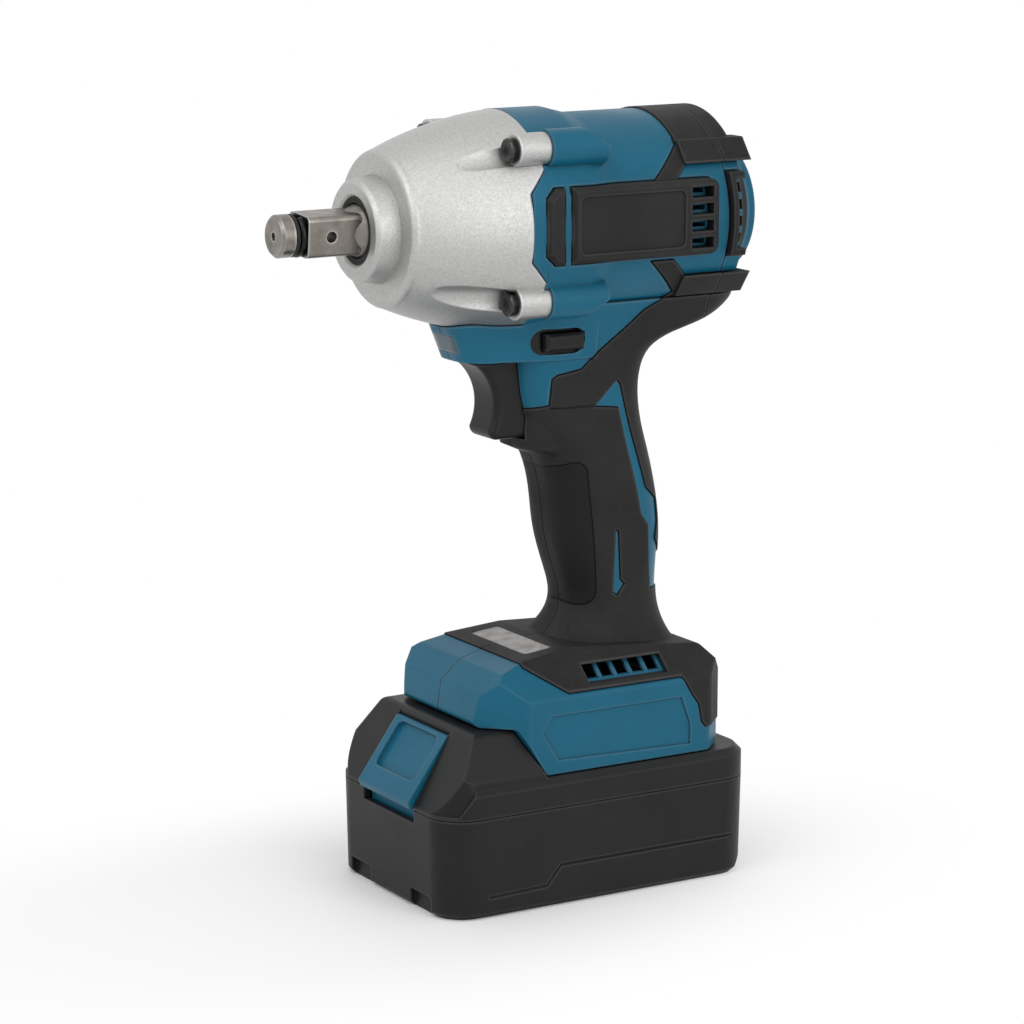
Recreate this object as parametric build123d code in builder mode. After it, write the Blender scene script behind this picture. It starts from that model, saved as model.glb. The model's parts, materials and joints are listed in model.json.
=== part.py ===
"""Cordless impact wrench with a half-inch square drive and a slide-on battery.

Millimetres. +X is the drive direction, +Y the tool's left side, +Z up.
The origin is the centre of the battery's underside, where the tool stands.
"""
import math
import os

from build123d import *

# Fits
axis_height = 213.3         # drive axis above the floor
running_clearance = 0.05    # shaft in a bush or bearing, on the radius
sliding_clearance = 0.35    # moving piece beside a fixed one
seat_gap = 0.3              # rigid pieces that stand side by side
far = 120.0                 # reach of a cutting block, past every wall

# Square drive and anvil
square_size = 12.7          # half-inch drive, across flats
square_corner = 1.6
square_turn = -5.0         # how the square stands at rest, degrees about +X
tip_x = 95.6
tip_length = 4.6
tip_radius = 6.6
tip_chamfer = 0.9
tip_dimple_radius = 1.3
ring_groove_width = 4.0
ring_groove_radius = 4.9
square_length = 16.0
pin_hole_radius = 1.7
shoulder_length = 4.0
shaft_radius = 8.5
jaw_radius = 19.5
jaw_width = 15.0
jaw_front = 54.0
jaw_thickness = 8.0
friction_ring_wire = 0.95
o_ring_wire = 0.85

# Hammer case
nose_front = 68.4
nose_root = 60.7
nose_radius = 15.7
nose_root_radius = 16.6
nose_bore_radius = 10.35
nose_chamfer = 1.0
dome_radius = 22.4
dome_round = 2.2
case_mid_x = 37.6
case_mid_radius = 31.6
case_seam_x = 18.0          # visible joint between case and housing
case_seam_radius = 34.8
case_inner_front = 55.2
case_inner_radius = 24.6    # beside the anvil jaws
case_inner_wide = 27.6      # behind them
spigot_radius = 29.6
spigot_bore = 26.0
boss_radius = 5.1
boss_y = 26.5
boss_z = 23.5               # above and below the middle of the side features
boss_front_x = 27.2
boss_back_x = 16.2
key_flute_radius = 4.6
key_flute_flare = 7.0       # degrees the flute opens towards the nose
case_screw_head_radius = 3.8
case_screw_head_length = 4.0
case_screw_seat_x = 27.2
case_screw_shank_radius = 2.0
case_screw_end_x = -0.5
case_screw_socket_radius = 1.9
bush_length = 9.0
seal_length = 2.8
seal_recess = 0.8

# Hammer, spindle and springs
hammer_radius = 23.6
hammer_front = 45.6
hammer_back = 22.0
hammer_lug_length = 7.6
hammer_lug_inner = 12.0
hammer_lug_width = 14.0
hammer_cup_radius = 17.4
hammer_cup_floor = 36.0
spindle_radius = 8.0
spindle_pilot_radius = 4.5
spindle_pilot_length = 6.0
carrier_radius = 16.6
carrier_front = 13.0
carrier_flange = 3.2
carrier_back = -2.0
carrier_back_plate = 2.6
carrier_hub_radius = 10.0
carrier_hub_length = 5.0
carrier_bore = 7.8
carrier_post_radius = 3.4
carrier_post_place = 12.4
cam_ball_radius = 2.6
cam_ball_x = 40.5
hammer_spring_wire = 2.6
hammer_spring_radius = 13.4
hammer_spring_turns = 4

# Planetary gear set
gear_module = 1.0
sun_teeth = 12
planet_teeth = 15
ring_teeth = sun_teeth + 2 * planet_teeth
planet_count = 3
pressure_angle = 25.0
gear_backlash = 0.22
tooth_tip = 0.85            # tooth above the pitch line, in modules
tooth_root = 1.15           # tooth below it
planet_back = 1.3
planet_width = 7.9
planet_pin_radius = 2.0
ring_gear_front = 10.2
pinion_back = -2.0
pinion_front = 9.4

# Motor
stator_front = -17.0
stator_length = 24.0
stator_radius = 22.5
stator_yoke = 4.0
stator_bore = 12.6
stator_poles = 6
pole_width = 5.0
pole_shoe_depth = 1.6
pole_shoe_width = 10.0
coil_thickness = 2.2
coil_overhang = 2.0
rotor_core_radius = 9.6
magnet_radius = 12.0
magnet_count = 4
magnet_gap = 3.0
rotor_shaft_radius = 4.0
motor_bearing_radius = 9.5
motor_bearing_width = 5.0
motor_bearing_front = -8.2
spindle_bearing_radius = 16.0
spindle_bearing_width = 4.8
spindle_bearing_front = -2.2
rear_bearing_radius = 8.0
rear_bearing_front = -55.6
bearing_shield = 0.6
gear_plate_radius = 27.6
gear_plate_flange = 2.8
gear_plate_wall = 3.0
gear_plate_front = -2.4
sensor_board_front = -43.0
sensor_board_thickness = 1.4
fan_front = -46.6
fan_length = 7.4
fan_radius = 21.0
fan_hub_radius = 9.0
fan_disc = 1.5
fan_blades = 9
fan_blade_thickness = 1.5

# Housing head
housing_wall = 2.6
collar_radius = 34.9
collar_end_x = 2.0
barrel_start_x = -7.0
barrel_radius = 32.6
rear_seam_x = -48.0
rear_end_x = -66.0
rear_round = 12.0
cover_boss_radius = 5.9     # teal covers behind the four case screws
cover_boss_end_x = -4.2
cover_slant_x = 3.4         # where the slanted end of a cover starts
rib_thickness = 3.0
tongue_front = 24.0         # side tongues of the housing let into the case
tongue_half_height = 10.4
tongue_root_half = 17.0
side_rise = 1.3             # the side features are centred this far above the drive axis

# Side panel, pads and vents
panel_y = 35.0
panel_half_height = 11.8
panel_front_x = 10.4
panel_back_x = -43.4
panel_bevel = 1.4
panel_corner = 3.0
label_front_x = 8.0
label_back_x = -30.2
label_half_height = 8.8
label_depth = 0.6
label_corner = 2.0
pad_back_x = 12.8
pad_front_x = 19.4
pad_corner = 3.2
vent_front_x = -32.6
vent_back_x = -40.8
vent_height = 3.4           # window in the rubber
vent_slot_length = 6.6      # slot in the housing behind it
vent_slot_height = 1.5
vent_pitch = 5.3
vent_count = 4
frame_half_height = 13.2
frame_proud = 2.4
frame_front_x = -48.6
frame_back_x = -62.0
frame_slot_front = -50.4
frame_slot_back = -58.2
frame_slot_height = 3.2
frame_border = 2.2
ear_front_x = -33.6
ear_back_x = -58.2
ear_top = 24.5              # from the drive axis
ear_bottom = 17.6
ear_top_y = 24.4
ear_bottom_y = 29.6
ear_root_y = 18.0

# Rubber overmould
overmould_depth = 1.4       # how deep it is let into the housing
overmould_proud = 0.5       # how far it stands out
overmould_groove = 0.3      # shut line round it

# Grip: height, front, back, half width and corner radius of each section
grip_sections = [
    (70.0, 13.5, -45.0, 25.5, 12.0),
    (76.0, 3.5, -41.5, 19.5, 12.0),
    (82.0, -3.5, -39.2, 17.0, 12.5),
    (90.0, -6.2, -37.7, 16.2, 13.0),
    (98.0, -4.5, -37.8, 16.2, 13.0),
    (113.0, -0.4, -38.2, 16.6, 13.0),
    (125.0, 1.0, -36.6, 16.8, 13.0),
    (axis_height - 76.3, 4.4, -34.0, 16.5, 13.0),
    (axis_height - 67.3, 9.5, -31.7, 16.2, 13.0),
    (axis_height - 57.3, 13.6, -29.8, 16.5, 12.5),
    (axis_height - 48.3, 14.8, -30.0, 17.2, 12.0),
    (axis_height - 42.3, 15.2, -32.8, 18.0, 12.0),
    (axis_height - 37.3, 15.6, -42.0, 18.5, 12.0),
    (axis_height - 34.3, 16.0, -52.0, 19.0, 12.0),
    (axis_height - 30.3, 16.2, -59.0, 20.0, 12.0),
    (axis_height - 25.3, 16.5, -61.5, 22.0, 12.0),
]
# Lip of the grip under the trigger: height and front of each section
lip_sections = [
    (axis_height - 76.0, 3.0), (axis_height - 72.0, 12.0), (axis_height - 66.0, 12.8), (axis_height - 58.0, 12.0),
]
lip_back = -20.0
lip_half_width = 13.0
lip_corner = 9.0
chin_bottom = axis_height - 42.7
chin_top = axis_height - 26.3
chin_bottom_front = 34.4
chin_top_front = 40.3
chin_back = -8.0
chin_wide_x = 6.0           # the chin narrows from here to its front
chin_bottom_half = 13.0
chin_top_half = 14.6
chin_back_half_low = 18.4
chin_back_half_high = 20.6
chin_corner = 10.0

# Foot, above the battery
foot_bottom = 42.4
foot_floor = 53.0           # floor between the battery channel and the electronics
foot_front = 39.7
foot_front_bottom = 57.8
foot_notch_x = 28.9         # the battery's raised front fits under this
foot_notch_back = 19.7
foot_nose_x = 38.0
foot_nose_z = 68.3
foot_brow_x = 31.0
foot_brow_z = 74.3
foot_top_front_x = 23.4
foot_top_front_z = 76.4
foot_top_x = 4.0
foot_top_z = 78.6
foot_top_back_x = -42.5
foot_top_back_z = 75.2
foot_back_slope_x = -49.4
foot_back_slope_z = 66.4
foot_back_x = -50.2
foot_half_width = 34.6
foot_side_top = 66.6
foot_roof_half = 20.0
foot_roof_top = 79.6
foot_cheek_x = 26.0         # where the front corners of the plan begin
foot_cheek_y = 22.0
foot_tail_cut = 9.0
foot_edge_round = 2.0
channel_half_width = 24.0
channel_lip_half = 20.0
channel_lip_height = 3.0
channel_top = 51.0
channel_back_x = -47.0
foot_vent_count = 5
foot_vent_front = 2.0
foot_vent_pitch = 5.7
foot_vent_width = 4.3
foot_vent_low = 69.8
foot_vent_high = 73.8
foot_vent_border = 0.5      # rubber window round the vents
foot_recess = [(17.5, 61.2), (21.2, 56.2), (15.4, 46.8), (-34.0, 45.4), (-34.0, 52.0), (-30.6, 61.2)]
foot_recess_depth = 0.6

# Trigger, selector, light and display
trigger_half_width = 7.8
trigger_top = axis_height - 43.9
trigger_bottom = axis_height - 68.4
trigger_horn_x = 29.2
trigger_waist_x = 22.3
trigger_waist_z = axis_height - 55.4
trigger_toe_x = 24.0
trigger_toe_z = axis_height - 65.2
trigger_toe_round = 3.0
trigger_back_x = 5.0
trigger_round = 2.4
trigger_travel = 7.0
trigger_pocket_radius = 5.0
trigger_pocket_x = 13.0
trigger_rod_radius = 2.0
trigger_rod_end_x = -6.0
trigger_spring_radius = 3.6
trigger_spring_wire = 0.9
trigger_spring_turns = 6
switch_front_x = -4.0
switch_length = 20.0
switch_half_width = 9.0
switch_height = 19.0
selector_x = 4.3
selector_z = axis_height - 36.6
selector_length = 13.8
selector_height = 5.2
selector_half_span = 20.6
selector_bevel = 0.9
selector_room_x = 6.0       # rounded hollow in the housing round the selector
selector_room_length = 18.4
selector_room_height = 8.2
selector_room_y = 17.2
light_half_width = 6.5
light_bottom = axis_height - 39.9
light_top = axis_height - 34.3
light_depth = 4.0
board_thickness = 1.6
display_front_x = 17.4
display_back_x = 7.2
display_half_width = 17.2
display_thickness = 1.6
display_corner = 1.6


# Side view of the rubber on the head, heights from the drive axis
pad_depth = 6.0
vent_reach = 24.0           # vents go in this far from the middle plane
foot_vent_reach = 23.0
side_flat_y = 33.4          # flats under the side panel and pads
band_front_x = -34.0
band_shoulder = 23.3
band_neck_front = -20.6     # the band joins the side panel between these two
band_neck_back = -28.6
band_neck_rise = 12.0
strip_front_x = -34.6       # teal strip between band, panel and ear

# Side view of the rubber on the neck, X and height from the drive axis
neck_rubber = [
    (-33.2, -23.1), (-29.2, -26.2), (-24.5, -28.6), (-17.2, -35.0), (-8.0, -41.7), (-3.0, -46.4), (5.4, -47.7),
    (6.9, -48.9), (7.1, -57.5), (14.1, -59.3), (far, -59.7),
]
# Side view of the rubber on the grip and foot, X and Z
foot_rubber = [
    (far, 84.0), (25.0, 84.0), (22.8, 75.6), (11.2, 67.8), (-31.0, 67.8), (-34.5, 61.9), (-37.2, 58.0),
    (-38.3, 52.2), (-39.8, 50.4), (-far, 50.4),
]
# Teal that shows through the rubber at the back of the grip
grip_stripe = [
    (-8.2, axis_height - 58.8), (-16.6, axis_height - 50.5), (-18.0, axis_height - 52.5), (-28.4, 126.5),
    (-34.0, 122.0), (-34.5, 114.5), (-33.0, 109.2), (-37.5, 103.5), (-44.0, 92.0), (-31.0, 92.8), (-29.8, 102.0),
    (-29.0, 114.0), (-26.0, 118.0), (-24.3, 126.0), (-17.3, axis_height - 59.9),
]
grip_slit = [
    (-16.4, 114.3), (-15.9, 93.5), (-17.5, 92.2), (-20.4, 96.0), (-18.8, 97.5), (-17.8, 113.5),
]

# Housing screws, put in from the right: X, Z and how far out the head sits
housing_screw_spots = [
    (-24.0, axis_height - 40.3, 15.0), (-22.0, 131.0, 14.0), (-21.0, 92.0, 13.5), (-42.0, 60.0, 26.6),
    (22.0, 65.0, 31.4), (23.0, axis_height - 38.7, 10.4), (-41.2, axis_height + 26.4, 11.0),
    (-41.2, axis_height - 26.4, 11.0),
]
housing_screw_head_radius = 3.0
housing_screw_head_length = 2.4
housing_screw_shank_radius = 1.5
housing_screw_reach = 5.0   # how far the shank goes past the parting plane
housing_post_radius = 3.6

# Electronics in the foot
terminal_half_width = 16.0
terminal_front_x = -42.0
terminal_bottom = 44.4
blade_spots = (-11.0, 0.0, 11.0)
blade_thickness = 1.0
blade_length = 8.0
blade_bottom = 45.6
blade_height = 4.0
controller_front_x = 12.0
controller_back_x = -37.0
controller_half_width = 23.0
controller_height = 9.0
trigger_room_x = 2.0
cradle_length = 10.0
cradle_depth = 6.0
cradle_height = 14.0

# Battery
battery_length = 115.0
battery_width = 75.0
battery_corner = 12.0
battery_draft = 1.2         # degrees the sides lean in towards the floor
battery_wall = 2.2
battery_seam = 32.4         # joint between lower and upper case
battery_top = 42.0
battery_shoulder = 2.2
battery_foot_chamfer = 1.8
battery_tail_cut = 8.0
battery_line = [(42.0, 6.6), (21.0, 7.3), (16.0, 13.4), (-51.5, 13.4)]
battery_line_width = 0.9
battery_line_depth = 1.0
battery_hollow_front = 40.5
hump_top = 57.2
hump_brow_x = 43.0
hump_toe_x = 57.3
hump_toe_z = 33.6
hump_half_low = 36.0
hump_half_high = 29.0
hump_shoulder_z = 43.5
hump_soft = 3.0             # rounding of the hump's long edges
ledge_x = 45.8              # the side ledge runs down to the seam in front of this
ledge_toe_x = 52.0
toe_notch_y = 19.5          # two notches in the bottom front edge
toe_notch_width = 13.0
toe_notch_depth = 2.6
toe_notch_height = 6.2
rail_back_x = -41.6
rail_front_x = 36.0
rail_top = 50.4
rail_hollow_half = 17.0
rail_hollow_front = 16.0
rail_hollow_back = -38.0
rail_slot_length = 12.0
rail_slot_width = 3.0
board_z = 43.0
board_half_width = 17.0
board_front_x = 12.0
board_back_x = -37.5
cell_radius = 9.05
cell_length = 65.0
cell_columns = 5
cell_pitch_x = 18.2
cell_pitch_z = 18.4
cell_first_z = 11.4
cell_middle_x = -5.0
cell_plate_thickness = 1.0
cell_plate_gap = 3.0
battery_screw_spots = [(50.0, 30.0), (50.0, -30.0), (-53.5, 26.0), (-53.5, -26.0)]
battery_screw_seat = 7.8
battery_screw_head_radius = 2.2
battery_screw_head_length = 1.4
battery_screw_shank_radius = 1.1
battery_screw_top = 37.0
battery_post_radius = 2.3
clip_half_width = 2.0
clip_wall = 0.6
clip_front_x = -26.0
clip_back_x = -36.0
clip_height = 3.4

# Release button on the battery's sloping front
button_half_width = 16.0
button_top = 54.4
button_back_x = 44.1
button_face_x = 45.4
button_lip_x = 59.6
button_lip_z = 34.8
button_skirt_front = 54.6
button_skirt_back = 52.4
button_skirt_bottom = 26.5
button_inner_top = 46.5
button_inner_low = 33.5
button_travel = 3.5
button_lip_depth = 2.2
button_lip_edge = 0.9
tray_half_width = 12.8      # thumb tray in the button's slope
tray_top = 1.2              # its two ends, down the slope from the top edge
tray_bottom = 17.4
tray_depth = 1.5
tray_corner = 2.6
button_notch_z = 28.0
button_tail_half = 4.5
button_tail_front = 49.4
button_tail_bottom = 40.0
button_spring_x = 46.4
button_spring_floor = 35.0
button_spring_top = 44.0
button_spring_radius = 2.0
button_spring_wire = 0.7
button_spring_turns = 4

drive_axis = Axis((0, 0, axis_height), (1, 0, 0))
left_turn = Axis((0, 0, axis_height), (-1, 0, 0))   # half a turn from +Z sweeps the left side
drive_section = Plane(origin=(0, 0, axis_height), x_dir=(1, 0, 0), z_dir=(0, -1, 0))


def across(x):
    """Plane square to the drive axis: local x is +Y, local y is +Z from the axis."""
    return Plane(origin=(x, 0, axis_height), x_dir=(0, 1, 0), z_dir=(1, 0, 0))


def side_prism(outlines, grow):
    """Side-view outlines carried right across the tool, grown by `grow` all round."""
    with BuildPart() as prism:
        for corners in outlines:
            with BuildSketch(Plane.XZ.offset(-far)):
                with BuildLine():
                    Polyline(*corners, close=True)
                make_face()
                if grow:
                    offset(amount=grow, kind=Kind.INTERSECTION)
            extrude(amount=2 * far)
    return prism.part


def from_axis(corners):
    """Corners given from the drive axis, as heights above the floor."""
    return [(x, axis_height + rise) for x, rise in corners]


def gear_outline(teeth, tip, root, thinning):
    """Corner points of a gear, tooth centred on the local x axis, flanks cut from involutes."""
    pitch = gear_module * teeth / 2
    start = math.radians(pressure_angle)
    base = pitch * math.cos(start)

    def half_width(radius):
        angle = math.acos(min(1.0, base / radius))
        roll = math.tan(angle) - angle
        return math.pi / (2 * teeth) - thinning / (2 * pitch) + math.tan(start) - start - roll

    flank = [(radius, half_width(radius)) for radius in (root, pitch, tip)]
    corners = []
    for tooth in range(teeth):
        middle = 2 * math.pi * tooth / teeth
        sides = [(radius, middle - half) for radius, half in flank]
        sides += [(radius, middle + half) for radius, half in reversed(flank)]
        corners += [(radius * math.cos(turn), radius * math.sin(turn)) for radius, turn in sides]
    return corners


def coil_path(start, along, radius, length, turns):
    """Helix of tangent arcs, two for each quarter turn, round the axis `along` from `start`."""
    frame = Plane(origin=start, z_dir=along)
    steps = 4 * turns
    points = []
    tangents = []
    for step in range(steps + 1):
        turn = 2 * math.pi * step / 4
        spot = Vector(radius * math.cos(turn), radius * math.sin(turn), length * step / steps)
        lead = length / (2 * math.pi * turns)
        heading = Vector(-radius * math.sin(turn), radius * math.cos(turn), lead)
        points.append(frame.from_local_coords(spot))
        tangents.append(frame.from_local_coords(heading) - frame.origin)
    arcs = []
    for step in range(steps):
        ahead = tangents[step].normalized()
        after = tangents[step + 1].normalized()
        chord = points[step + 1] - points[step]
        slack = 2 * (1 - ahead.dot(after))
        pull = chord.dot(ahead + after)
        reach = (math.sqrt(pull * pull + slack * chord.dot(chord)) - pull) / slack
        near = points[step] + ahead * reach
        past = points[step + 1] - after * reach
        middle = (near + past) * 0.5
        arcs.append((points[step], middle, ahead))
        arcs.append((middle, points[step + 1], past - near))
    return arcs


def coil_spring(start, along, radius, wire, length, turns):
    """Round wire wound into an open coil spring between two seats `length` apart."""
    lift = Vector(*along).normalized() * (wire / 2)
    arcs = coil_path(Vector(*start) + lift, along, radius, length - wire, turns)
    with BuildPart() as spring:
        with BuildLine() as path:
            for begin, end, heading in arcs:
                TangentArc(begin, end, tangent=heading)
        with BuildSketch(Plane(origin=path.line @ 0, z_dir=path.line % 0)):
            Circle(wire / 2)
        sweep(path=path.line)
    print(f"coil gap {(length - wire) / turns - wire:.2f} mm")
    return spring


def ball_bearing(front, width, inner, outer):
    """Shielded bearing ring on the drive axis, its faces let in between the two races."""
    race = (outer - inner) / 4
    with BuildPart() as bearing:
        with BuildSketch(across(front)):
            Circle(outer)
            Circle(inner, mode=Mode.SUBTRACT)
        extrude(amount=-width)
        for face, way in ((front, -1), (front - width, 1)):
            with BuildSketch(across(face)):
                Circle(outer - race)
                Circle(inner + race, mode=Mode.SUBTRACT)
            extrude(amount=way * bearing_shield, mode=Mode.SUBTRACT)
    return bearing


# Lengths that follow along the drive line
square_front = tip_x - tip_length - ring_groove_width
square_back = square_front - square_length
shaft_front = square_back - shoulder_length
jaw_back = jaw_front - jaw_thickness
seal_front = nose_front - seal_recess
sun_pitch = gear_module * sun_teeth / 2
planet_pitch = gear_module * planet_teeth / 2
ring_pitch = gear_module * ring_teeth / 2
planet_orbit = sun_pitch + planet_pitch
planet_angle = 360 / planet_count
tooth_above = tooth_tip * gear_module
tooth_below = tooth_root * gear_module
stator_back = stator_front - stator_length
rear_bearing_back = rear_bearing_front - motor_bearing_width

# Anvil: two jaws, shaft, square drive and tip
square_section = Plane(origin=((square_front + square_back) / 2, 0, axis_height), x_dir=(1, 0, 0),
                       z_dir=(0, math.cos(math.radians(square_turn)), math.sin(math.radians(square_turn))))
with BuildPart() as anvil:
    with BuildSketch(across(jaw_back)):
        Circle(shaft_radius + 2)
        with PolarLocations(jaw_radius / 2, 2, start_angle=square_turn):
            Rectangle(jaw_radius, jaw_width)
        Circle(jaw_radius, mode=Mode.INTERSECT)
    extrude(amount=jaw_thickness)
    with BuildSketch(across(jaw_front)):
        Circle(shaft_radius)
    extrude(amount=shaft_front - jaw_front)
    with BuildSketch(across(shaft_front)):
        Circle(shaft_radius)
    with BuildSketch(across(square_back)):
        Circle(square_size / 2)
    loft()
    with BuildSketch(across(square_back - shoulder_length / 2)):
        RectangleRounded(square_size, square_size, square_corner, rotation=square_turn)
    extrude(amount=square_length + shoulder_length / 2)
    with BuildSketch(across(square_front)):
        Circle(ring_groove_radius)
    extrude(amount=ring_groove_width)
    with BuildSketch(across(tip_x - tip_length)):
        Circle(tip_radius)
    extrude(amount=tip_length)
    chamfer(anvil.edges().group_by(Axis.X)[-1], tip_chamfer)
    with BuildSketch(across(tip_x)):
        Circle(tip_dimple_radius)
    extrude(amount=-tip_chamfer, mode=Mode.SUBTRACT)
    with BuildSketch(square_section):
        Circle(pin_hole_radius)
    extrude(amount=square_size, both=True, mode=Mode.SUBTRACT)
    with BuildSketch(across(jaw_back)):
        Circle(spindle_pilot_radius + running_clearance)
    extrude(amount=spindle_pilot_length + seat_gap, mode=Mode.SUBTRACT)

# Rings in the groove behind the tip: rubber in front, split steel ring behind
with BuildPart() as anvil_o_ring:
    with BuildSketch(drive_section):
        with Locations((square_front + ring_groove_width - o_ring_wire, ring_groove_radius + o_ring_wire)):
            Circle(o_ring_wire)
    revolve(axis=drive_axis)

friction_ring_gap = 30.0    # degrees left open in the split ring
with BuildPart() as friction_ring:
    with BuildSketch(drive_section):
        with Locations((square_front + friction_ring_wire + seat_gap, ring_groove_radius + friction_ring_wire)):
            Circle(friction_ring_wire)
    revolve(axis=drive_axis, revolution_arc=360 - friction_ring_gap)


def case_outside(grow):
    """Outside of the hammer case as a turned body, grown by `grow` for clearance."""
    with BuildPart() as body:
        with BuildSketch(drive_section):
            with BuildLine():
                Polyline((case_seam_x, 0), (nose_front + grow, 0), (nose_front + grow, nose_radius + grow),
                         (nose_root + grow, nose_root_radius + grow), (nose_root + grow, dome_radius + grow))
                RadiusArc((nose_root + grow, dome_radius + grow),
                          (nose_root + grow - dome_round, dome_radius + dome_round + grow), -dome_round)
                ThreePointArc((nose_root + grow - dome_round, dome_radius + dome_round + grow),
                              (case_mid_x, case_mid_radius + grow), (case_seam_x, case_seam_radius + grow))
                Line((case_seam_x, case_seam_radius + grow), (case_seam_x, 0))
            make_face()
        revolve(axis=drive_axis)
    return body.part


boss_spots = [(side * boss_y, side_rise + level * boss_z) for side in (1, -1) for level in (1, -1)]
tongue_side = from_axis([
    (case_seam_x - housing_wall, side_rise + tongue_root_half), (case_seam_x, side_rise + tongue_root_half),
    (tongue_front, side_rise + tongue_half_height), (tongue_front, side_rise - tongue_half_height),
    (case_seam_x, side_rise - tongue_root_half), (case_seam_x - housing_wall, side_rise - tongue_root_half),
])
tongue_room = side_prism([tongue_side], seat_gap)
with BuildPart() as tongue_pockets:
    add(tongue_room)
    with BuildSketch(across(case_seam_x - far / 2)):
        Circle(spigot_radius + seat_gap)
    extrude(amount=far, mode=Mode.SUBTRACT)

case_shell = case_outside(0)
with BuildPart() as hammer_case:
    add(case_shell)
    with BuildSketch(across(gear_plate_front)):
        Circle(spigot_radius)
    extrude(amount=case_seam_x - gear_plate_front)
    with BuildSketch(across(boss_back_x)):
        with Locations(*boss_spots):
            Circle(boss_radius)
    extrude(amount=boss_front_x - boss_back_x)
    with BuildSketch(drive_section):
        with BuildLine():
            Polyline((case_inner_front, 0), (case_inner_front, case_inner_radius),
                     (jaw_back, case_inner_radius), (hammer_back, case_inner_wide),
                     (boss_back_x, case_inner_wide), (carrier_front, spigot_bore),
                     (gear_plate_front, spigot_bore), (gear_plate_front, 0), close=True)
        make_face()
    revolve(axis=drive_axis, mode=Mode.SUBTRACT)
    with BuildSketch(across(nose_front)):
        Circle(nose_bore_radius)
    extrude(amount=case_inner_front - nose_front, mode=Mode.SUBTRACT)
    with BuildSketch(across(case_screw_seat_x)):
        with Locations(*boss_spots):
            Circle(key_flute_radius)
    extrude(amount=nose_root - case_screw_seat_x, taper=-key_flute_flare, mode=Mode.SUBTRACT)
    with BuildSketch(across(boss_back_x)):
        with Locations(*boss_spots):
            Circle(case_screw_shank_radius)
    extrude(amount=case_screw_seat_x - boss_back_x, mode=Mode.SUBTRACT)
    add(tongue_pockets.part, mode=Mode.SUBTRACT)
    chamfer(hammer_case.edges().filter_by(GeomType.CIRCLE).group_by(Axis.X)[-1], nose_chamfer)

with BuildPart() as hammer_case_screws:
    with BuildSketch(across(case_screw_seat_x)):
        with Locations(*boss_spots):
            Circle(case_screw_head_radius)
    extrude(amount=case_screw_head_length)
    with BuildSketch(across(case_screw_seat_x)):
        with Locations(*boss_spots):
            Circle(case_screw_shank_radius)
    extrude(amount=case_screw_end_x - case_screw_seat_x)
    with BuildSketch(across(case_screw_seat_x + case_screw_head_length)):
        with Locations(*boss_spots):
            RegularPolygon(case_screw_socket_radius, 6)
    extrude(amount=-case_screw_head_length / 2, mode=Mode.SUBTRACT)

with BuildPart() as front_bush:
    with BuildSketch(across(case_inner_front)):
        Circle(nose_bore_radius)
        Circle(shaft_radius + running_clearance, mode=Mode.SUBTRACT)
    extrude(amount=bush_length)

with BuildPart() as nose_seal:
    with BuildSketch(across(seal_front)):
        Circle(nose_bore_radius)
        Circle(shaft_radius + running_clearance, mode=Mode.SUBTRACT)
    extrude(amount=-seal_length)

# Hammer: cup for the spring behind, two lugs in front, grooves for the cam balls
lug_angle = square_turn + 90
with BuildPart() as hammer:
    with BuildSketch(across(hammer_back)):
        Circle(hammer_radius)
    extrude(amount=hammer_front - hammer_back)
    with BuildSketch(across(hammer_front)):
        with PolarLocations(hammer_radius / 2, 2, start_angle=lug_angle):
            Rectangle(hammer_radius, hammer_lug_width)
        Circle(hammer_radius, mode=Mode.INTERSECT)
        Circle(hammer_lug_inner, mode=Mode.SUBTRACT)
    extrude(amount=hammer_lug_length)
    with BuildSketch(across(hammer_back)):
        Circle(hammer_cup_radius)
    extrude(amount=hammer_cup_floor - hammer_back, mode=Mode.SUBTRACT)
    with BuildSketch(across(hammer_back)):
        Circle(spindle_radius + running_clearance)
    extrude(amount=hammer_front - hammer_back, mode=Mode.SUBTRACT)
    with BuildSketch(across(cam_ball_x - cam_ball_radius - seat_gap)):
        with PolarLocations(spindle_radius, 2):
            Circle(cam_ball_radius + running_clearance)
    extrude(amount=far, mode=Mode.SUBTRACT)

# Spindle: planet carrier at the back, shaft with ball seats, pilot for the anvil
spindle_front = jaw_back - seat_gap
with BuildPart() as spindle:
    with BuildSketch(across(carrier_front - carrier_flange)):
        Circle(carrier_radius)
    extrude(amount=carrier_flange)
    with BuildSketch(across(carrier_back)):
        Circle(carrier_radius)
    extrude(amount=carrier_back_plate)
    with BuildSketch(across(carrier_back)):
        with PolarLocations(carrier_post_place, planet_count, start_angle=planet_angle / 2):
            Circle(carrier_post_radius)
    extrude(amount=carrier_front - carrier_back)
    with BuildSketch(across(carrier_back)):
        Circle(carrier_hub_radius)
    extrude(amount=-carrier_hub_length)
    with BuildSketch(across(carrier_front)):
        Circle(spindle_radius)
    extrude(amount=spindle_front - carrier_front)
    with BuildSketch(across(spindle_front)):
        Circle(spindle_pilot_radius)
    extrude(amount=spindle_pilot_length)
    with BuildSketch(across(carrier_back - carrier_hub_length)):
        Circle(carrier_bore)
    extrude(amount=carrier_hub_length + carrier_front - carrier_flange - carrier_back, mode=Mode.SUBTRACT)
    with BuildSketch(across(carrier_back)):
        with PolarLocations(planet_orbit, planet_count):
            Circle(planet_pin_radius)
    extrude(amount=carrier_front - carrier_back, mode=Mode.SUBTRACT)
    with Locations(*[(cam_ball_x, side * spindle_radius, axis_height) for side in (1, -1)]):
        Sphere(cam_ball_radius + running_clearance, mode=Mode.SUBTRACT)

with BuildPart() as cam_balls:
    with Locations(*[(cam_ball_x, side * spindle_radius, axis_height) for side in (1, -1)]):
        Sphere(cam_ball_radius)

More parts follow.
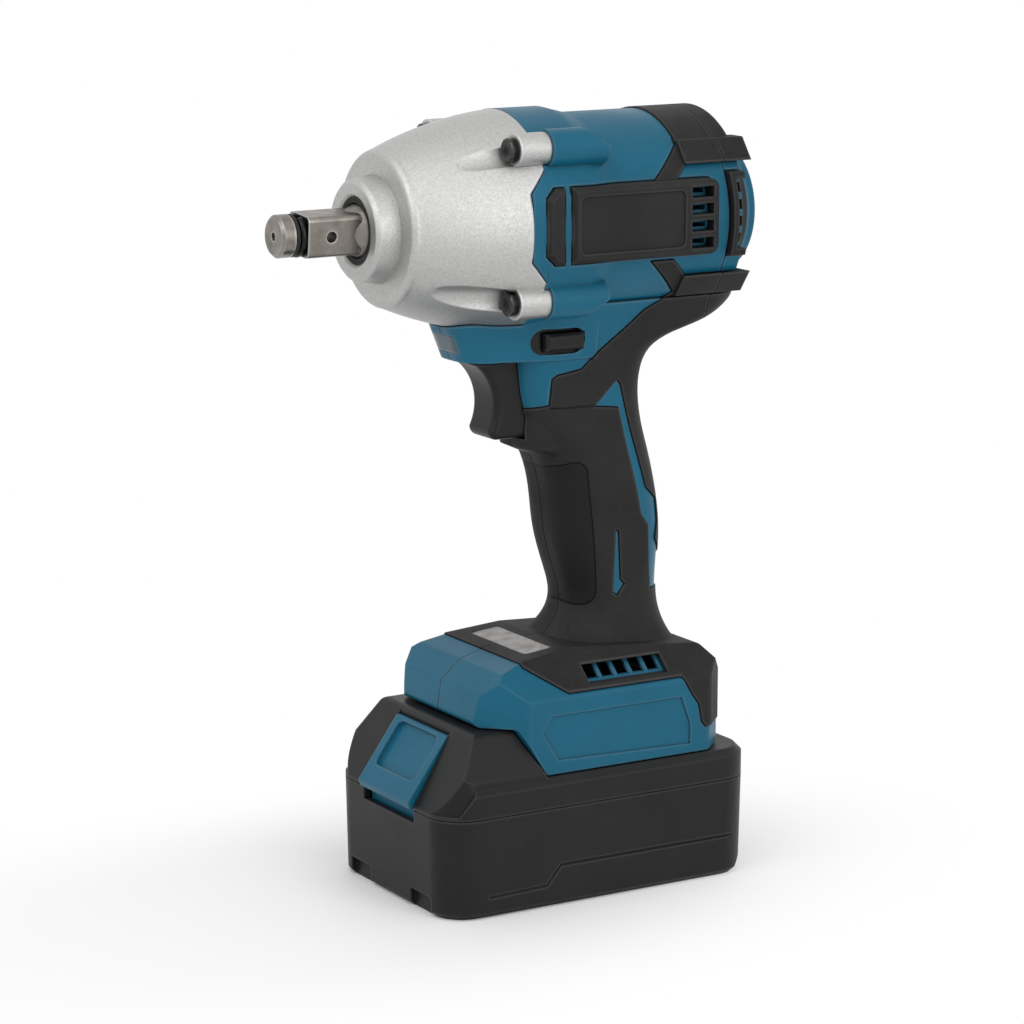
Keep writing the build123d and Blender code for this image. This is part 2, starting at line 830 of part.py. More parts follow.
with BuildPart() as planet_pins:
    with BuildSketch(across(carrier_back)):
        with PolarLocations(planet_orbit, planet_count):
            Circle(planet_pin_radius)
    extrude(amount=carrier_front - carrier_back)

hammer_spring = coil_spring((carrier_front, 0, axis_height), (1, 0, 0), hammer_spring_radius,
                            hammer_spring_wire, hammer_cup_floor - carrier_front, hammer_spring_turns)

# Planet gears, ring gear and bearings
planet_gears = []
for index in range(planet_count):
    turn = math.radians(planet_angle * index)
    centre = Plane(origin=(planet_back, planet_orbit * math.cos(turn), axis_height + planet_orbit * math.sin(turn)),
                   x_dir=(0, math.cos(turn), math.sin(turn)), z_dir=(1, 0, 0))
    with BuildPart() as planet_gear:
        with BuildSketch(centre):
            with BuildLine():
                Polyline(*gear_outline(planet_teeth, planet_pitch + tooth_above, planet_pitch - tooth_below,
                                       gear_backlash), close=True)
            make_face()
            Circle(planet_pin_radius + running_clearance, mode=Mode.SUBTRACT)
        extrude(amount=planet_width)
    planet_gears.append(planet_gear)

with BuildPart() as ring_gear:
    with BuildSketch(across(gear_plate_front)):
        Circle(spigot_bore)
        with BuildLine():
            Polyline(*gear_outline(ring_teeth, ring_pitch + tooth_below, ring_pitch - tooth_above,
                                   -gear_backlash), close=True)
        make_face(mode=Mode.SUBTRACT)
    extrude(amount=ring_gear_front - gear_plate_front)

spindle_bearing = ball_bearing(spindle_bearing_front, spindle_bearing_width, carrier_hub_radius,
                               spindle_bearing_radius)
front_motor_bearing = ball_bearing(motor_bearing_front, motor_bearing_width, rotor_shaft_radius,
                                   motor_bearing_radius)
rear_motor_bearing = ball_bearing(rear_bearing_front, motor_bearing_width, rotor_shaft_radius,
                                  rear_bearing_radius)

# Gearbox plate closes the hammer case and carries both front bearings
spindle_seat_back = spindle_bearing_front - spindle_bearing_width
motor_seat_back = motor_bearing_front - motor_bearing_width
with BuildPart() as gearbox_plate:
    with BuildSketch(drive_section):
        with BuildLine():
            Polyline((gear_plate_front, spindle_bearing_radius), (gear_plate_front, gear_plate_radius),
                     (gear_plate_front - gear_plate_flange, gear_plate_radius),
                     (gear_plate_front - gear_plate_flange, spindle_bearing_radius + gear_plate_wall),
                     (motor_bearing_front, spindle_bearing_radius + gear_plate_wall),
                     (motor_bearing_front, motor_bearing_radius + gear_plate_wall),
                     (motor_seat_back, motor_bearing_radius + gear_plate_wall),
                     (motor_seat_back, motor_bearing_radius), (motor_bearing_front, motor_bearing_radius),
                     (motor_bearing_front, carrier_bore), (spindle_seat_back, carrier_bore),
                     (spindle_seat_back, spindle_bearing_radius), close=True)
        make_face()
    revolve(axis=drive_axis)

# Motor: stator core with poles, one coil on each pole, rotor with magnets and fan
with BuildPart() as stator_core:
    with BuildSketch(across(stator_front)):
        Circle(stator_radius)
        Circle(stator_radius - stator_yoke, mode=Mode.SUBTRACT)
        with PolarLocations((stator_radius + stator_bore) / 2, stator_poles):
            Rectangle(stator_radius - stator_bore - stator_yoke / 2, pole_width)
        with PolarLocations(stator_bore + pole_shoe_depth / 2, stator_poles):
            Rectangle(pole_shoe_depth, pole_shoe_width)
        Circle(stator_bore, mode=Mode.SUBTRACT)
    extrude(amount=-stator_length)

coil_inner = stator_bore + pole_shoe_depth + seat_gap
coil_half_width = pole_width / 2 + coil_thickness
coil_outer = math.sqrt((stator_radius - stator_yoke) ** 2 - coil_half_width ** 2) - seat_gap
with BuildPart() as stator_coils:
    with BuildSketch(across(stator_front + coil_overhang)):
        with PolarLocations((coil_inner + coil_outer) / 2, stator_poles):
            Rectangle(coil_outer - coil_inner, 2 * coil_half_width)
    extrude(amount=-stator_length - 2 * coil_overhang)
    with BuildSketch(across(stator_front)):
        with PolarLocations((coil_inner + coil_outer) / 2, stator_poles):
            Rectangle(coil_outer - coil_inner, pole_width)
    extrude(amount=-stator_length, mode=Mode.SUBTRACT)

with BuildPart() as rotor_shaft:
    with BuildSketch(across(rear_bearing_back)):
        Circle(rotor_shaft_radius)
    extrude(amount=pinion_back - rear_bearing_back)
    with BuildSketch(across(pinion_back)):
        with BuildLine():
            Polyline(*gear_outline(sun_teeth, sun_pitch + tooth_above, sun_pitch - tooth_below,
                                   gear_backlash), close=True)
        make_face()
    extrude(amount=pinion_front - pinion_back)

with BuildPart() as rotor_core:
    with BuildSketch(across(stator_front)):
        Circle(rotor_core_radius)
        Circle(rotor_shaft_radius, mode=Mode.SUBTRACT)
    extrude(amount=-stator_length)

with BuildPart() as rotor_magnets:
    with BuildSketch(across(stator_front)):
        Circle(magnet_radius)
        Circle(rotor_core_radius, mode=Mode.SUBTRACT)
        with PolarLocations(magnet_radius, magnet_count, start_angle=180 / magnet_count):
            Rectangle(magnet_radius, magnet_gap, mode=Mode.SUBTRACT)
    extrude(amount=-stator_length)

with BuildPart() as sensor_board:
    with BuildSketch(across(sensor_board_front)):
        Circle(stator_radius)
        Circle(fan_hub_radius, mode=Mode.SUBTRACT)
    extrude(amount=-sensor_board_thickness)

with BuildPart() as cooling_fan:
    with BuildSketch(across(fan_front)):
        Circle(fan_radius)
    extrude(amount=-fan_disc)
    with BuildSketch(across(fan_front)):
        Circle(fan_hub_radius)
        with PolarLocations((fan_hub_radius + fan_radius) / 2, fan_blades):
            Rectangle(fan_radius - fan_hub_radius + fan_blade_thickness, fan_blade_thickness)
        Circle(fan_radius, mode=Mode.INTERSECT)
    extrude(amount=-fan_length)
    with BuildSketch(across(fan_front)):
        Circle(rotor_shaft_radius)
    extrude(amount=-fan_length, mode=Mode.SUBTRACT)


def half_plan(height, front, back, half_width, corner):
    """Left half of a rounded rectangle in a level plane, closed along the parting plane."""
    with BuildSketch(Plane.XY.offset(height)) as plan:
        with BuildLine():
            Line((front, 0), (front, half_width - corner))
            RadiusArc((front, half_width - corner), (front - corner, half_width), -corner)
            Line((front - corner, half_width), (back + corner, half_width))
            RadiusArc((back + corner, half_width), (back, half_width - corner), -corner)
            Polyline((back, half_width - corner), (back, 0), (front, 0))
        make_face()
    return plan.sketch


def grip_form(inset):
    """Left half of the handle, from the foot up into the head, shrunk by `inset`."""
    sections = [half_plan(height, front - inset, back + inset, half - inset, corner - inset)
                for height, front, back, half, corner in grip_sections]
    with BuildPart() as form:
        loft(sections)
    return form.part


def lip_form(inset):
    """Left half of the lip that closes the grip under the trigger."""
    sections = [half_plan(height, front - inset, lip_back + inset, lip_half_width - inset, lip_corner - inset)
                for height, front in lip_sections]
    with BuildPart() as form:
        loft(sections, ruled=True)
    return form.part


def chin_plan(height, front, front_half, back_half, inset):
    """Left half of the chin in a level plane: rounded in front, wider behind."""
    corner = chin_corner - inset
    with BuildSketch(Plane.XY.offset(height)) as plan:
        with BuildLine():
            Line((front - inset, 0), (front - inset, front_half - chin_corner))
            RadiusArc((front - inset, front_half - chin_corner), (front - chin_corner, front_half - inset), -corner)
            Polyline((front - chin_corner, front_half - inset), (chin_wide_x, back_half - inset),
                     (chin_back + inset, back_half - inset), (chin_back + inset, 0), (front - inset, 0))
        make_face()
    return plan.sketch


def chin_form(inset):
    """Left half of the block under the hammer case, which roofs the trigger."""
    low = chin_plan(chin_bottom + inset, chin_bottom_front, chin_bottom_half, chin_back_half_low, inset)
    high = chin_plan(chin_top, chin_top_front, chin_top_half, chin_back_half_high, inset)
    with BuildPart() as form:
        loft([low, high])
    return form.part


def head_form(inset):
    """Left half of the head's barrel with its thicker front collar, up to the rear seam."""
    with BuildPart() as form:
        with BuildSketch(drive_section):
            with BuildLine():
                Polyline((case_seam_x, 0), (case_seam_x, collar_radius - inset),
                         (collar_end_x, collar_radius - inset), (barrel_start_x, barrel_radius - inset),
                         (rear_seam_x, barrel_radius - inset), (rear_seam_x, 0), close=True)
            make_face()
        revolve(axis=left_turn, revolution_arc=180)
    return form.part


def rear_form(inset):
    """Left half of the cap behind the rear seam, rounded at its back edge."""
    edge = rear_round - inset
    with BuildPart() as form:
        with BuildSketch(drive_section):
            with BuildLine():
                Polyline((rear_end_x + inset, barrel_radius - rear_round), (rear_end_x + inset, 0),
                         (rear_seam_x, 0), (rear_seam_x, barrel_radius - inset),
                         (rear_end_x + rear_round, barrel_radius - inset))
                RadiusArc((rear_end_x + rear_round, barrel_radius - inset),
                          (rear_end_x + inset, barrel_radius - rear_round), edge)
            make_face()
        revolve(axis=left_turn, revolution_arc=180)
    return form.part


foot_side = [
    (foot_back_x, foot_bottom), (foot_notch_back, foot_bottom), (foot_notch_x, foot_front_bottom),
    (foot_front, foot_front_bottom), (foot_nose_x, foot_nose_z), (foot_brow_x, foot_brow_z),
    (foot_top_front_x, foot_top_front_z), (foot_top_x, foot_top_z), (foot_top_back_x, foot_top_back_z),
    (foot_back_slope_x, foot_back_slope_z),
]
foot_plan = [
    (foot_front, foot_cheek_y), (foot_cheek_x, foot_half_width), (foot_back_x + foot_tail_cut, foot_half_width),
    (foot_back_x, foot_half_width - foot_tail_cut), (foot_back_x, foot_tail_cut - foot_half_width),
    (foot_back_x + foot_tail_cut, -foot_half_width), (foot_cheek_x, -foot_half_width),
    (foot_front, -foot_cheek_y),
]
foot_roof = [
    (foot_half_width, 0), (foot_half_width, foot_side_top), (foot_roof_half, foot_roof_top),
    (-foot_roof_half, foot_roof_top), (-foot_half_width, foot_side_top), (-foot_half_width, 0),
]


def soft_outline(plane, corners, inset, rounding):
    """Closed outline on `plane`, moved in by `inset`, with its corners rounded."""
    with BuildSketch(plane) as outline:
        with BuildLine():
            Polyline(*corners, close=True)
        make_face()
        if inset:
            offset(amount=-inset, kind=Kind.INTERSECTION)
        fillet(outline.vertices(), max(rounding - inset, seat_gap))
    return outline.sketch


def foot_form(inset):
    """Left half of the foot: a side outline cut to its plan and to its sloping roof."""
    side = soft_outline(Plane.XZ.offset(-far), foot_side, inset, foot_edge_round)
    plan = soft_outline(Plane.XY, foot_plan, inset, 2 * foot_edge_round)
    roof = soft_outline(Plane(origin=(-far, 0, 0), x_dir=(0, 1, 0), z_dir=(1, 0, 0)), foot_roof, inset,
                        foot_edge_round)
    with BuildPart() as form:
        extrude(side, amount=far)
        extrude(plan, amount=far, mode=Mode.INTERSECT)
        extrude(roof, amount=2 * far, mode=Mode.INTERSECT)
    return form.part


def body_form(inset):
    """Left half of the whole housing up to the rear seam, shrunk by `inset`."""
    with BuildPart() as form:
        add(form_pieces(inset))
    return form.part


def form_pieces(inset):
    """The overlapping forms that make up the left half of the housing."""
    return [head_form(inset), grip_form(inset), lip_form(inset), chin_form(inset), foot_form(inset)]


# The housing is modelled as its left half; the right half is its mirror image
body_outside = body_form(0)
body_skin = body_form(-overmould_proud)
body_core = body_form(overmould_depth)
grip_skin = grip_form(-overmould_proud)
case_room = case_outside(seat_gap)
rear_outside = rear_form(0)
rear_skin = rear_form(-overmould_proud)
rear_core = rear_form(overmould_depth)
rear_hollow = rear_form(housing_wall)
frame_skin = rear_form(-frame_proud)
motor_bore = barrel_radius - housing_wall
with BuildPart() as rear_space:
    with BuildSketch(Plane.YZ.offset(rear_seam_x)):
        with Locations((0, axis_height)):
            Rectangle(far, far)
    extrude(amount=-far)


def side_pad(front, back, front_cut, back_round, grow):
    """Bevelled pad on the left of the head, grown by `grow` for its seat in the housing."""
    with BuildPart() as pad:
        with BuildSketch(Plane.XZ.offset(-panel_y)) as outline:
            with Locations(((front + back) / 2, axis_height + side_rise)):
                Rectangle(front - back + 2 * grow, 2 * (panel_half_height + grow))
            if front_cut:
                chamfer(outline.vertices().group_by(Axis.X)[-1], front_cut)
            if back_round:
                fillet(outline.vertices().group_by(Axis.X)[0], back_round)
        extrude(amount=pad_depth)
        chamfer(pad.faces().sort_by(Axis.Y)[-1].edges(), panel_bevel)
    return pad.part


upper_band = from_axis([
    (band_front_x, far), (band_front_x, band_shoulder), (band_neck_front, band_neck_rise),
    (band_neck_back, band_neck_rise), (strip_front_x, ear_bottom), (-far, ear_bottom), (-far, far),
])
lower_join = from_axis([
    (-far, -ear_bottom), (strip_front_x, -ear_bottom), (band_neck_back, -band_neck_rise),
    (band_neck_front, -band_neck_rise),
])
grip_rubber = from_axis(neck_rubber) + foot_rubber + lower_join
ear_corners = [(ear_root_y, ear_bottom), (ear_bottom_y, ear_bottom), (ear_top_y, ear_top), (ear_root_y, ear_top)]


def ear_bars(grow):
    """Two bumper bars along the left rear corners of the head."""
    with BuildPart() as bars:
        for level in (1, -1):
            with BuildSketch(across(ear_back_x - grow)):
                with BuildLine():
                    Polyline(*[(y, level * z) for y, z in ear_corners], close=True)
                make_face()
                if grow:
                    offset(amount=grow, kind=Kind.INTERSECTION)
            extrude(amount=ear_front_x - ear_back_x + 2 * grow)
    return bars.part


# Floor of the front pad's seat, where the pad reaches past the collar on to the tongue
with BuildPart() as pad_core:
    with BuildSketch(across(case_seam_x - housing_wall)):
        Circle(collar_radius - overmould_depth)
    extrude(amount=far)


def rubber_skin(grow):
    """Rubber of the left half; `grow` opens the shut line for its seat in the housing."""
    covered = side_prism([upper_band, grip_rubber], grow)
    bare = side_prism([grip_stripe, grip_slit], -grow)
    panel = side_pad(panel_front_x, panel_back_x, 0, panel_corner, grow)
    pad = side_pad(pad_front_x, pad_back_x, pad_corner, 0, grow)
    bars = ear_bars(grow)
    with BuildPart() as skin:
        add(body_skin)
        add(covered, mode=Mode.INTERSECT)
        add(bare, mode=Mode.SUBTRACT)
        add([bars, panel, pad])
        add([body_core, pad_core.part, rear_space.part], mode=Mode.SUBTRACT)
    return skin.part


def level_plane(x, z):
    """Plane square to X at a point of the middle plane: local x is +Y, local y is +Z."""
    return Plane(origin=(x, 0, z), x_dir=(0, 1, 0), z_dir=(1, 0, 0))


side_middle = axis_height + side_rise
vent_spots = [((vent_front_x + vent_back_x) / 2, side_middle + vent_pitch * (index - (vent_count - 1) / 2))
              for index in range(vent_count)]
frame_slot_x = (frame_slot_front + frame_slot_back) / 2
foot_vent_span = foot_vent_count * foot_vent_pitch
foot_vent_spots = [(foot_vent_front - foot_vent_pitch * (index + 0.5), (foot_vent_low + foot_vent_high) / 2)
                   for index in range(foot_vent_count)]
display_tilt = math.atan2(foot_top_z - foot_top_front_z, foot_top_front_x - foot_top_x)
display_middle = (display_front_x + display_back_x) / 2
display_height = foot_top_z - (display_middle - foot_top_x) * math.tan(display_tilt)
display_plane = Plane(origin=(display_middle, 0, display_height), x_dir=(0, 1, 0),
                      z_dir=(math.sin(display_tilt), 0, math.cos(display_tilt)))
display_length = (display_front_x - display_back_x) / math.cos(display_tilt)
trigger_mid = (trigger_top + trigger_bottom) / 2
rib_spots = (stator_front - rib_thickness, stator_back)


def cut_from_left(outline, inner):
    """Side-view sketch cut in from the left, down to `inner` from the middle plane."""
    with BuildPart() as cut:
        extrude(outline.moved(Location((0, far, 0))), amount=far - inner, dir=(0, -1, 0))
    return cut.part


with BuildSketch(Plane.XZ) as vent_window:
    with Locations(*vent_spots):
        Rectangle(vent_front_x - vent_back_x, vent_height)
with BuildSketch(Plane.XZ) as vent_slot:
    with Locations(*vent_spots):
        Rectangle(vent_slot_length, vent_slot_height)
with BuildSketch(Plane.XZ) as label_outline:
    with Locations(((label_front_x + label_back_x) / 2, side_middle)):
        RectangleRounded(label_front_x - label_back_x, 2 * label_half_height, label_corner)
with BuildSketch(Plane.XZ) as foot_window:
    with Locations((foot_vent_front - foot_vent_span / 2, (foot_vent_low + foot_vent_high) / 2)):
        Rectangle(foot_vent_span + 2 * foot_vent_border, foot_vent_high - foot_vent_low + 2 * foot_vent_border)
with BuildSketch(Plane.XZ) as foot_vent_slots:
    with Locations(*foot_vent_spots):
        Rectangle(foot_vent_width, foot_vent_high - foot_vent_low)
with BuildSketch(Plane.XZ) as foot_recess_outline:
    with BuildLine():
        Polyline(*foot_recess, close=True)
    make_face()
with BuildSketch(Plane.XZ) as frame_window:
    with Locations((frame_slot_x, side_middle)):
        Rectangle(frame_slot_front - frame_slot_back, 2 * (frame_half_height - frame_border))
with BuildSketch(Plane.XZ) as frame_slots:
    with Locations(*[(frame_slot_x, z) for x, z in vent_spots]):
        Rectangle(frame_slot_front - frame_slot_back, frame_slot_height)
with BuildSketch(Plane.XZ) as selector_outline:
    with Locations((selector_room_x, selector_z)):
        SlotOverall(selector_room_length, selector_room_height)
vent_window_cut = cut_from_left(vent_window.sketch, vent_reach)
vent_cut = cut_from_left(vent_slot.sketch, vent_reach)
label_cut = cut_from_left(label_outline.sketch, panel_y - label_depth)
foot_window_cut = cut_from_left(foot_window.sketch, foot_vent_reach)
foot_vent_cut = cut_from_left(foot_vent_slots.sketch, foot_vent_reach)
foot_recess_cut = cut_from_left(foot_recess_outline.sketch, foot_half_width - foot_recess_depth)
frame_window_cut = cut_from_left(frame_window.sketch, 0)
frame_slot_cut = cut_from_left(frame_slots.sketch, 0)
selector_room = cut_from_left(selector_outline.sketch, selector_room_y)

with BuildPart() as trigger_room:
    with Locations(((trigger_room_x + far) / 2, 0, trigger_mid)):
        Box(far - trigger_room_x, 2 * (trigger_half_width + sliding_clearance),
            trigger_top - trigger_bottom + 2 * sliding_clearance)

with BuildPart() as display_room:
    with BuildSketch(display_plane):
        RectangleRounded(2 * display_half_width, display_length, display_corner)
    extrude(amount=display_thickness + board_thickness, both=True)

with BuildPart() as screw_rooms:
    for x, z, seat in housing_screw_spots:
        with BuildSketch(Plane.XZ.offset(seat)):
            with Locations((x, z)):
                Circle(housing_screw_head_radius)
        extrude(amount=far)

with BuildPart() as housing_screws:
    for x, z, seat in housing_screw_spots:
        with BuildSketch(Plane.XZ.offset(seat)):
            with Locations((x, z)):
                Circle(housing_screw_head_radius)
        extrude(amount=housing_screw_head_length)
        with BuildSketch(Plane.XZ.offset(seat)):
            with Locations((x, z)):
                Circle(housing_screw_shank_radius)
        extrude(amount=-seat - housing_screw_reach)

# Bores for the gear case, the motor and the spindle bearing's seat
plate_back = gear_plate_front - gear_plate_flange
with BuildPart() as head_bores:
    with BuildSketch(across(plate_back)):
        Circle(spigot_radius)
    extrude(amount=far)
    with BuildSketch(across(plate_back - rib_thickness)):
        Circle(motor_bore)
    extrude(amount=-far)
    with BuildSketch(across(0)):
        Circle(spindle_bearing_radius + gear_plate_wall + sliding_clearance)
    extrude(amount=-far)

# Floor over the battery channel, ribs round the stator, screw posts, switch cradle
with BuildPart() as inner_walls:
    with BuildSketch(Plane.XY.offset(foot_bottom)):
        with Locations(((foot_back_x + foot_notch_back) / 2, 0)):
            Rectangle(foot_notch_back - foot_back_x - 2 * foot_tail_cut, 2 * foot_half_width - housing_wall)
        with Locations((foot_back_x + (foot_tail_cut + housing_wall / 2) / 2, 0)):
            Rectangle(foot_tail_cut - housing_wall / 2, 2 * (foot_half_width - foot_tail_cut))
    extrude(amount=foot_floor - foot_bottom)
    for back in rib_spots:
        with BuildSketch(across(back)):
            Circle(motor_bore + housing_wall / 2)
            Circle(stator_radius, mode=Mode.SUBTRACT)
        extrude(amount=rib_thickness)
    for x, z, seat in housing_screw_spots:
        with BuildSketch(Plane.XZ.offset(-seat - housing_wall / 2)):
            with Locations((x, z)):
                Circle(housing_post_radius)
        extrude(amount=2 * seat)
    with Locations((switch_front_x - switch_length / 2, switch_half_width + cradle_depth / 2, trigger_mid)):
        Box(cradle_length, cradle_depth, cradle_height)
    split(bisect_by=Plane.XZ, keep=Keep.BOTTOM)

# Openings for the case screws, the selector, the light and the battery's rail
with BuildPart() as openings:
    with BuildSketch(across(boss_back_x)):
        with Locations(*boss_spots):
            Circle(boss_radius + seat_gap)
    extrude(amount=far)
    with BuildSketch(across(case_screw_end_x)):
        with Locations(*boss_spots):
            Circle(case_screw_shank_radius)
    extrude(amount=boss_back_x - case_screw_end_x)
    with BuildSketch(Plane.XZ.offset(-far)):
        with Locations((selector_x, selector_z)):
            Rectangle(selector_length + 2 * sliding_clearance, selector_height + 2 * sliding_clearance)
    extrude(amount=2 * far)
    with BuildSketch(level_plane(chin_bottom_front - light_depth, (light_top + light_bottom) / 2)):
        Rectangle(2 * light_half_width, light_top - light_bottom)
    extrude(amount=far)
    for half, low, high in ((channel_lip_half, foot_bottom - seat_gap, foot_bottom + channel_lip_height),
                            (channel_half_width, foot_bottom + channel_lip_height, channel_top)):
        with BuildSketch(Plane.XY.offset(low)):
            with Locations(((channel_back_x + far) / 2, 0)):
                Rectangle(far - channel_back_x, 2 * half)
        extrude(amount=high - low)

with BuildPart() as side_flat:
    with BuildSketch(Plane.XZ.offset(-far)):
        with Locations(((tongue_front + barrel_start_x) / 2, side_middle)):
            Rectangle(tongue_front - barrel_start_x + seat_gap, 2 * panel_half_height)
    extrude(amount=far - side_flat_y)

whole_rubber = rubber_skin(0)
rubber_seat = rubber_skin(overmould_groove)
housing_hollows = form_pieces(housing_wall)[1:]
cover_slants = side_prism([
    from_axis([(x, side_rise + level * rise) for x, rise in (
        (cover_boss_end_x, boss_z), (2 * cover_slant_x - cover_boss_end_x, boss_z + 2 * cover_boss_radius),
        (cover_boss_end_x - cover_boss_radius, boss_z + 2 * cover_boss_radius),
        (cover_boss_end_x - cover_boss_radius, boss_z))])
    for level in (1, -1)], 0)
with BuildPart() as cover_bosses:
    with BuildSketch(across(cover_boss_end_x)):
        with Locations(*boss_spots[:2]):
            Circle(cover_boss_radius)
    extrude(amount=boss_back_x - cover_boss_end_x)
    add(cover_slants, mode=Mode.SUBTRACT)

tongue_slab = side_prism([tongue_side], 0)
with BuildPart() as tongue:
    with BuildSketch(across(case_seam_x - housing_wall)):
        Circle(case_seam_radius)
        Circle(spigot_radius + 2 * seat_gap, mode=Mode.SUBTRACT)
        with Locations((far / 2, 0)):
            Rectangle(far, far, mode=Mode.INTERSECT)
    extrude(amount=tongue_front - case_seam_x + housing_wall)
    add(tongue_slab, mode=Mode.INTERSECT)

with BuildPart() as half_housing:
    add([body_outside, cover_bosses.part])
    add(case_room, mode=Mode.SUBTRACT)
    add(tongue.part)
    add([side_flat.part, head_bores.part] + housing_hollows, mode=Mode.SUBTRACT)
    add(inner_walls.part)
    add([rubber_seat, openings.part, vent_cut, foot_vent_cut, foot_recess_cut, selector_room, trigger_room.part,
         display_room.part, rear_space.part], mode=Mode.SUBTRACT)

with BuildPart() as left_housing:
    add(half_housing.part)
    add(housing_screws.part, mode=Mode.SUBTRACT)

with BuildPart() as right_housing:
    mirror(half_housing.part, about=Plane.XZ)
    add([screw_rooms.part, housing_screws.part], mode=Mode.SUBTRACT)

with BuildPart() as left_overmould:
    add(whole_rubber)
    add([vent_window_cut, label_cut, foot_window_cut, trigger_room.part, display_room.part], mode=Mode.SUBTRACT)

with BuildPart() as right_overmould:
    mirror(left_overmould.part, about=Plane.XZ)
    add(screw_rooms.part, mode=Mode.SUBTRACT)

# Rear cover with its bearing seat, and the rubber bumper over it
cover_front = rear_seam_x - overmould_groove
rear_ears = ear_bars(0)


def rear_rubber(grow):
    """Left half of the bumper; `grow` opens the shut line for its seat in the cover."""
    above = from_axis([(-far, ear_bottom - grow), (far, ear_bottom - grow), (far, far), (-far, far)])
    below = from_axis([(-far, grow - ear_bottom), (far, grow - ear_bottom), (far, -far), (-far, -far)])
    zones = side_prism([above, below], 0)
    with BuildPart() as frames:
        add(frame_skin)
        with Locations(((frame_front_x + frame_back_x) / 2, 0, side_middle)):
            Box(frame_front_x - frame_back_x + 2 * grow, 2 * far, 2 * (frame_half_height + grow),
                mode=Mode.INTERSECT)
    with BuildPart() as bumper:
        add([rear_skin, grip_skin])
        add(zones, mode=Mode.INTERSECT)
        add([rear_ears, frames.part])
        add(rear_core, mode=Mode.SUBTRACT)
        split(bisect_by=Plane.YZ.offset(cover_front), keep=Keep.BOTTOM)
    return bumper.part


bumper_shape = rear_rubber(0)
bumper_seat = rear_rubber(overmould_groove)
with BuildPart() as rear_bumper:
    add(bumper_shape)
    add(frame_window_cut, mode=Mode.SUBTRACT)
    mirror(about=Plane.XZ)

with BuildPart() as rear_cover:
    add(rear_outside)
    split(bisect_by=Plane.YZ.offset(cover_front), keep=Keep.BOTTOM)
    add([rear_hollow, bumper_seat, frame_slot_cut], mode=Mode.SUBTRACT)
    mirror(about=Plane.XZ)
    with BuildSketch(across(rear_seam_x + rib_thickness)):
        Circle(motor_bore)
        Circle(motor_bore - housing_wall, mode=Mode.SUBTRACT)
    extrude(amount=cover_front - rear_seam_x - 2 * rib_thickness)
    with BuildSketch(across(rear_end_x + housing_wall / 2)):
        Circle(rear_bearing_radius + housing_wall)
    extrude(amount=rear_bearing_front - rear_end_x - housing_wall / 2)
    with BuildSketch(across(rear_bearing_back)):
        Circle(rear_bearing_radius)
    extrude(amount=far, mode=Mode.SUBTRACT)

# Work light in the chin: lens flush with the front, board behind it
light_mid = (light_top + light_bottom) / 2
light_back_x = chin_bottom_front - light_depth
chin_outside = chin_form(0)
with BuildPart() as light_lens:
    add(chin_outside)
    with BuildSketch(level_plane(light_back_x, light_mid)):
        Rectangle(2 * light_half_width, light_top - light_bottom)
    extrude(amount=far, mode=Mode.INTERSECT)
    add(case_room, mode=Mode.SUBTRACT)
    mirror(about=Plane.XZ)

with BuildPart() as light_board:
    with BuildSketch(level_plane(light_back_x, light_mid)):
        Rectangle(2 * light_half_width, light_top - light_bottom)
    extrude(amount=-board_thickness)

# Display on the foot: lens let into the roof, board under it
with BuildPart() as display_lens:
    with BuildSketch(display_plane.offset(seat_gap)):
        RectangleRounded(2 * display_half_width, display_length, display_corner)
    extrude(amount=-display_thickness)

with BuildPart() as display_board:
    with BuildSketch(display_plane.offset(seat_gap - display_thickness)):
        Rectangle(2 * (display_half_width - display_corner), display_length - 2 * display_corner)
    extrude(amount=-board_thickness)

# Trigger with its spring pocket and push rod
with BuildPart() as trigger:
    with BuildSketch(Plane.XZ.offset(-trigger_half_width)):
        with BuildLine():
            ThreePointArc((trigger_horn_x, trigger_top), (trigger_waist_x, trigger_waist_z),
                          (trigger_toe_x, trigger_toe_z))
            RadiusArc((trigger_toe_x, trigger_toe_z), (trigger_toe_x - trigger_toe_round, trigger_bottom),
                      trigger_toe_round)
            Polyline((trigger_toe_x - trigger_toe_round, trigger_bottom), (trigger_back_x, trigger_bottom),
                     (trigger_back_x, trigger_top), (trigger_horn_x, trigger_top))
        make_face()
    extrude(amount=2 * trigger_half_width)
    fillet(trigger.faces().filter_by(Axis.Y).edges().filter_by(GeomType.CIRCLE), trigger_round)
    with BuildSketch(level_plane(trigger_back_x, trigger_mid)):
        Circle(trigger_pocket_radius)
    extrude(amount=trigger_pocket_x - trigger_back_x, mode=Mode.SUBTRACT)
    with BuildSketch(level_plane(trigger_pocket_x, trigger_mid)):
        Circle(trigger_rod_radius)
    extrude(amount=trigger_rod_end_x - trigger_pocket_x)

trigger_spring = coil_spring((switch_front_x, 0, trigger_mid), (1, 0, 0), trigger_spring_radius,
                             trigger_spring_wire, trigger_pocket_x - switch_front_x, trigger_spring_turns)

with BuildPart() as switch_body:
    with Locations((switch_front_x - switch_length / 2, 0, trigger_mid)):
        Box(switch_length, 2 * switch_half_width, switch_height)
    with BuildSketch(level_plane(switch_front_x, trigger_mid)):
        Circle(trigger_rod_radius + sliding_clearance)
    extrude(amount=trigger_rod_end_x - trigger_travel - sliding_clearance - switch_front_x, mode=Mode.SUBTRACT)

# Selector bar for forward, locked and reverse, showing on both sides
with BuildPart() as selector:
    with BuildSketch(Plane.XZ.offset(-selector_half_span)):
        with Locations((selector_x, selector_z)):
            Rectangle(selector_length, selector_height)
    extrude(amount=2 * selector_half_span)
    chamfer(selector.faces().filter_by(Axis.Y).edges(), selector_bevel)

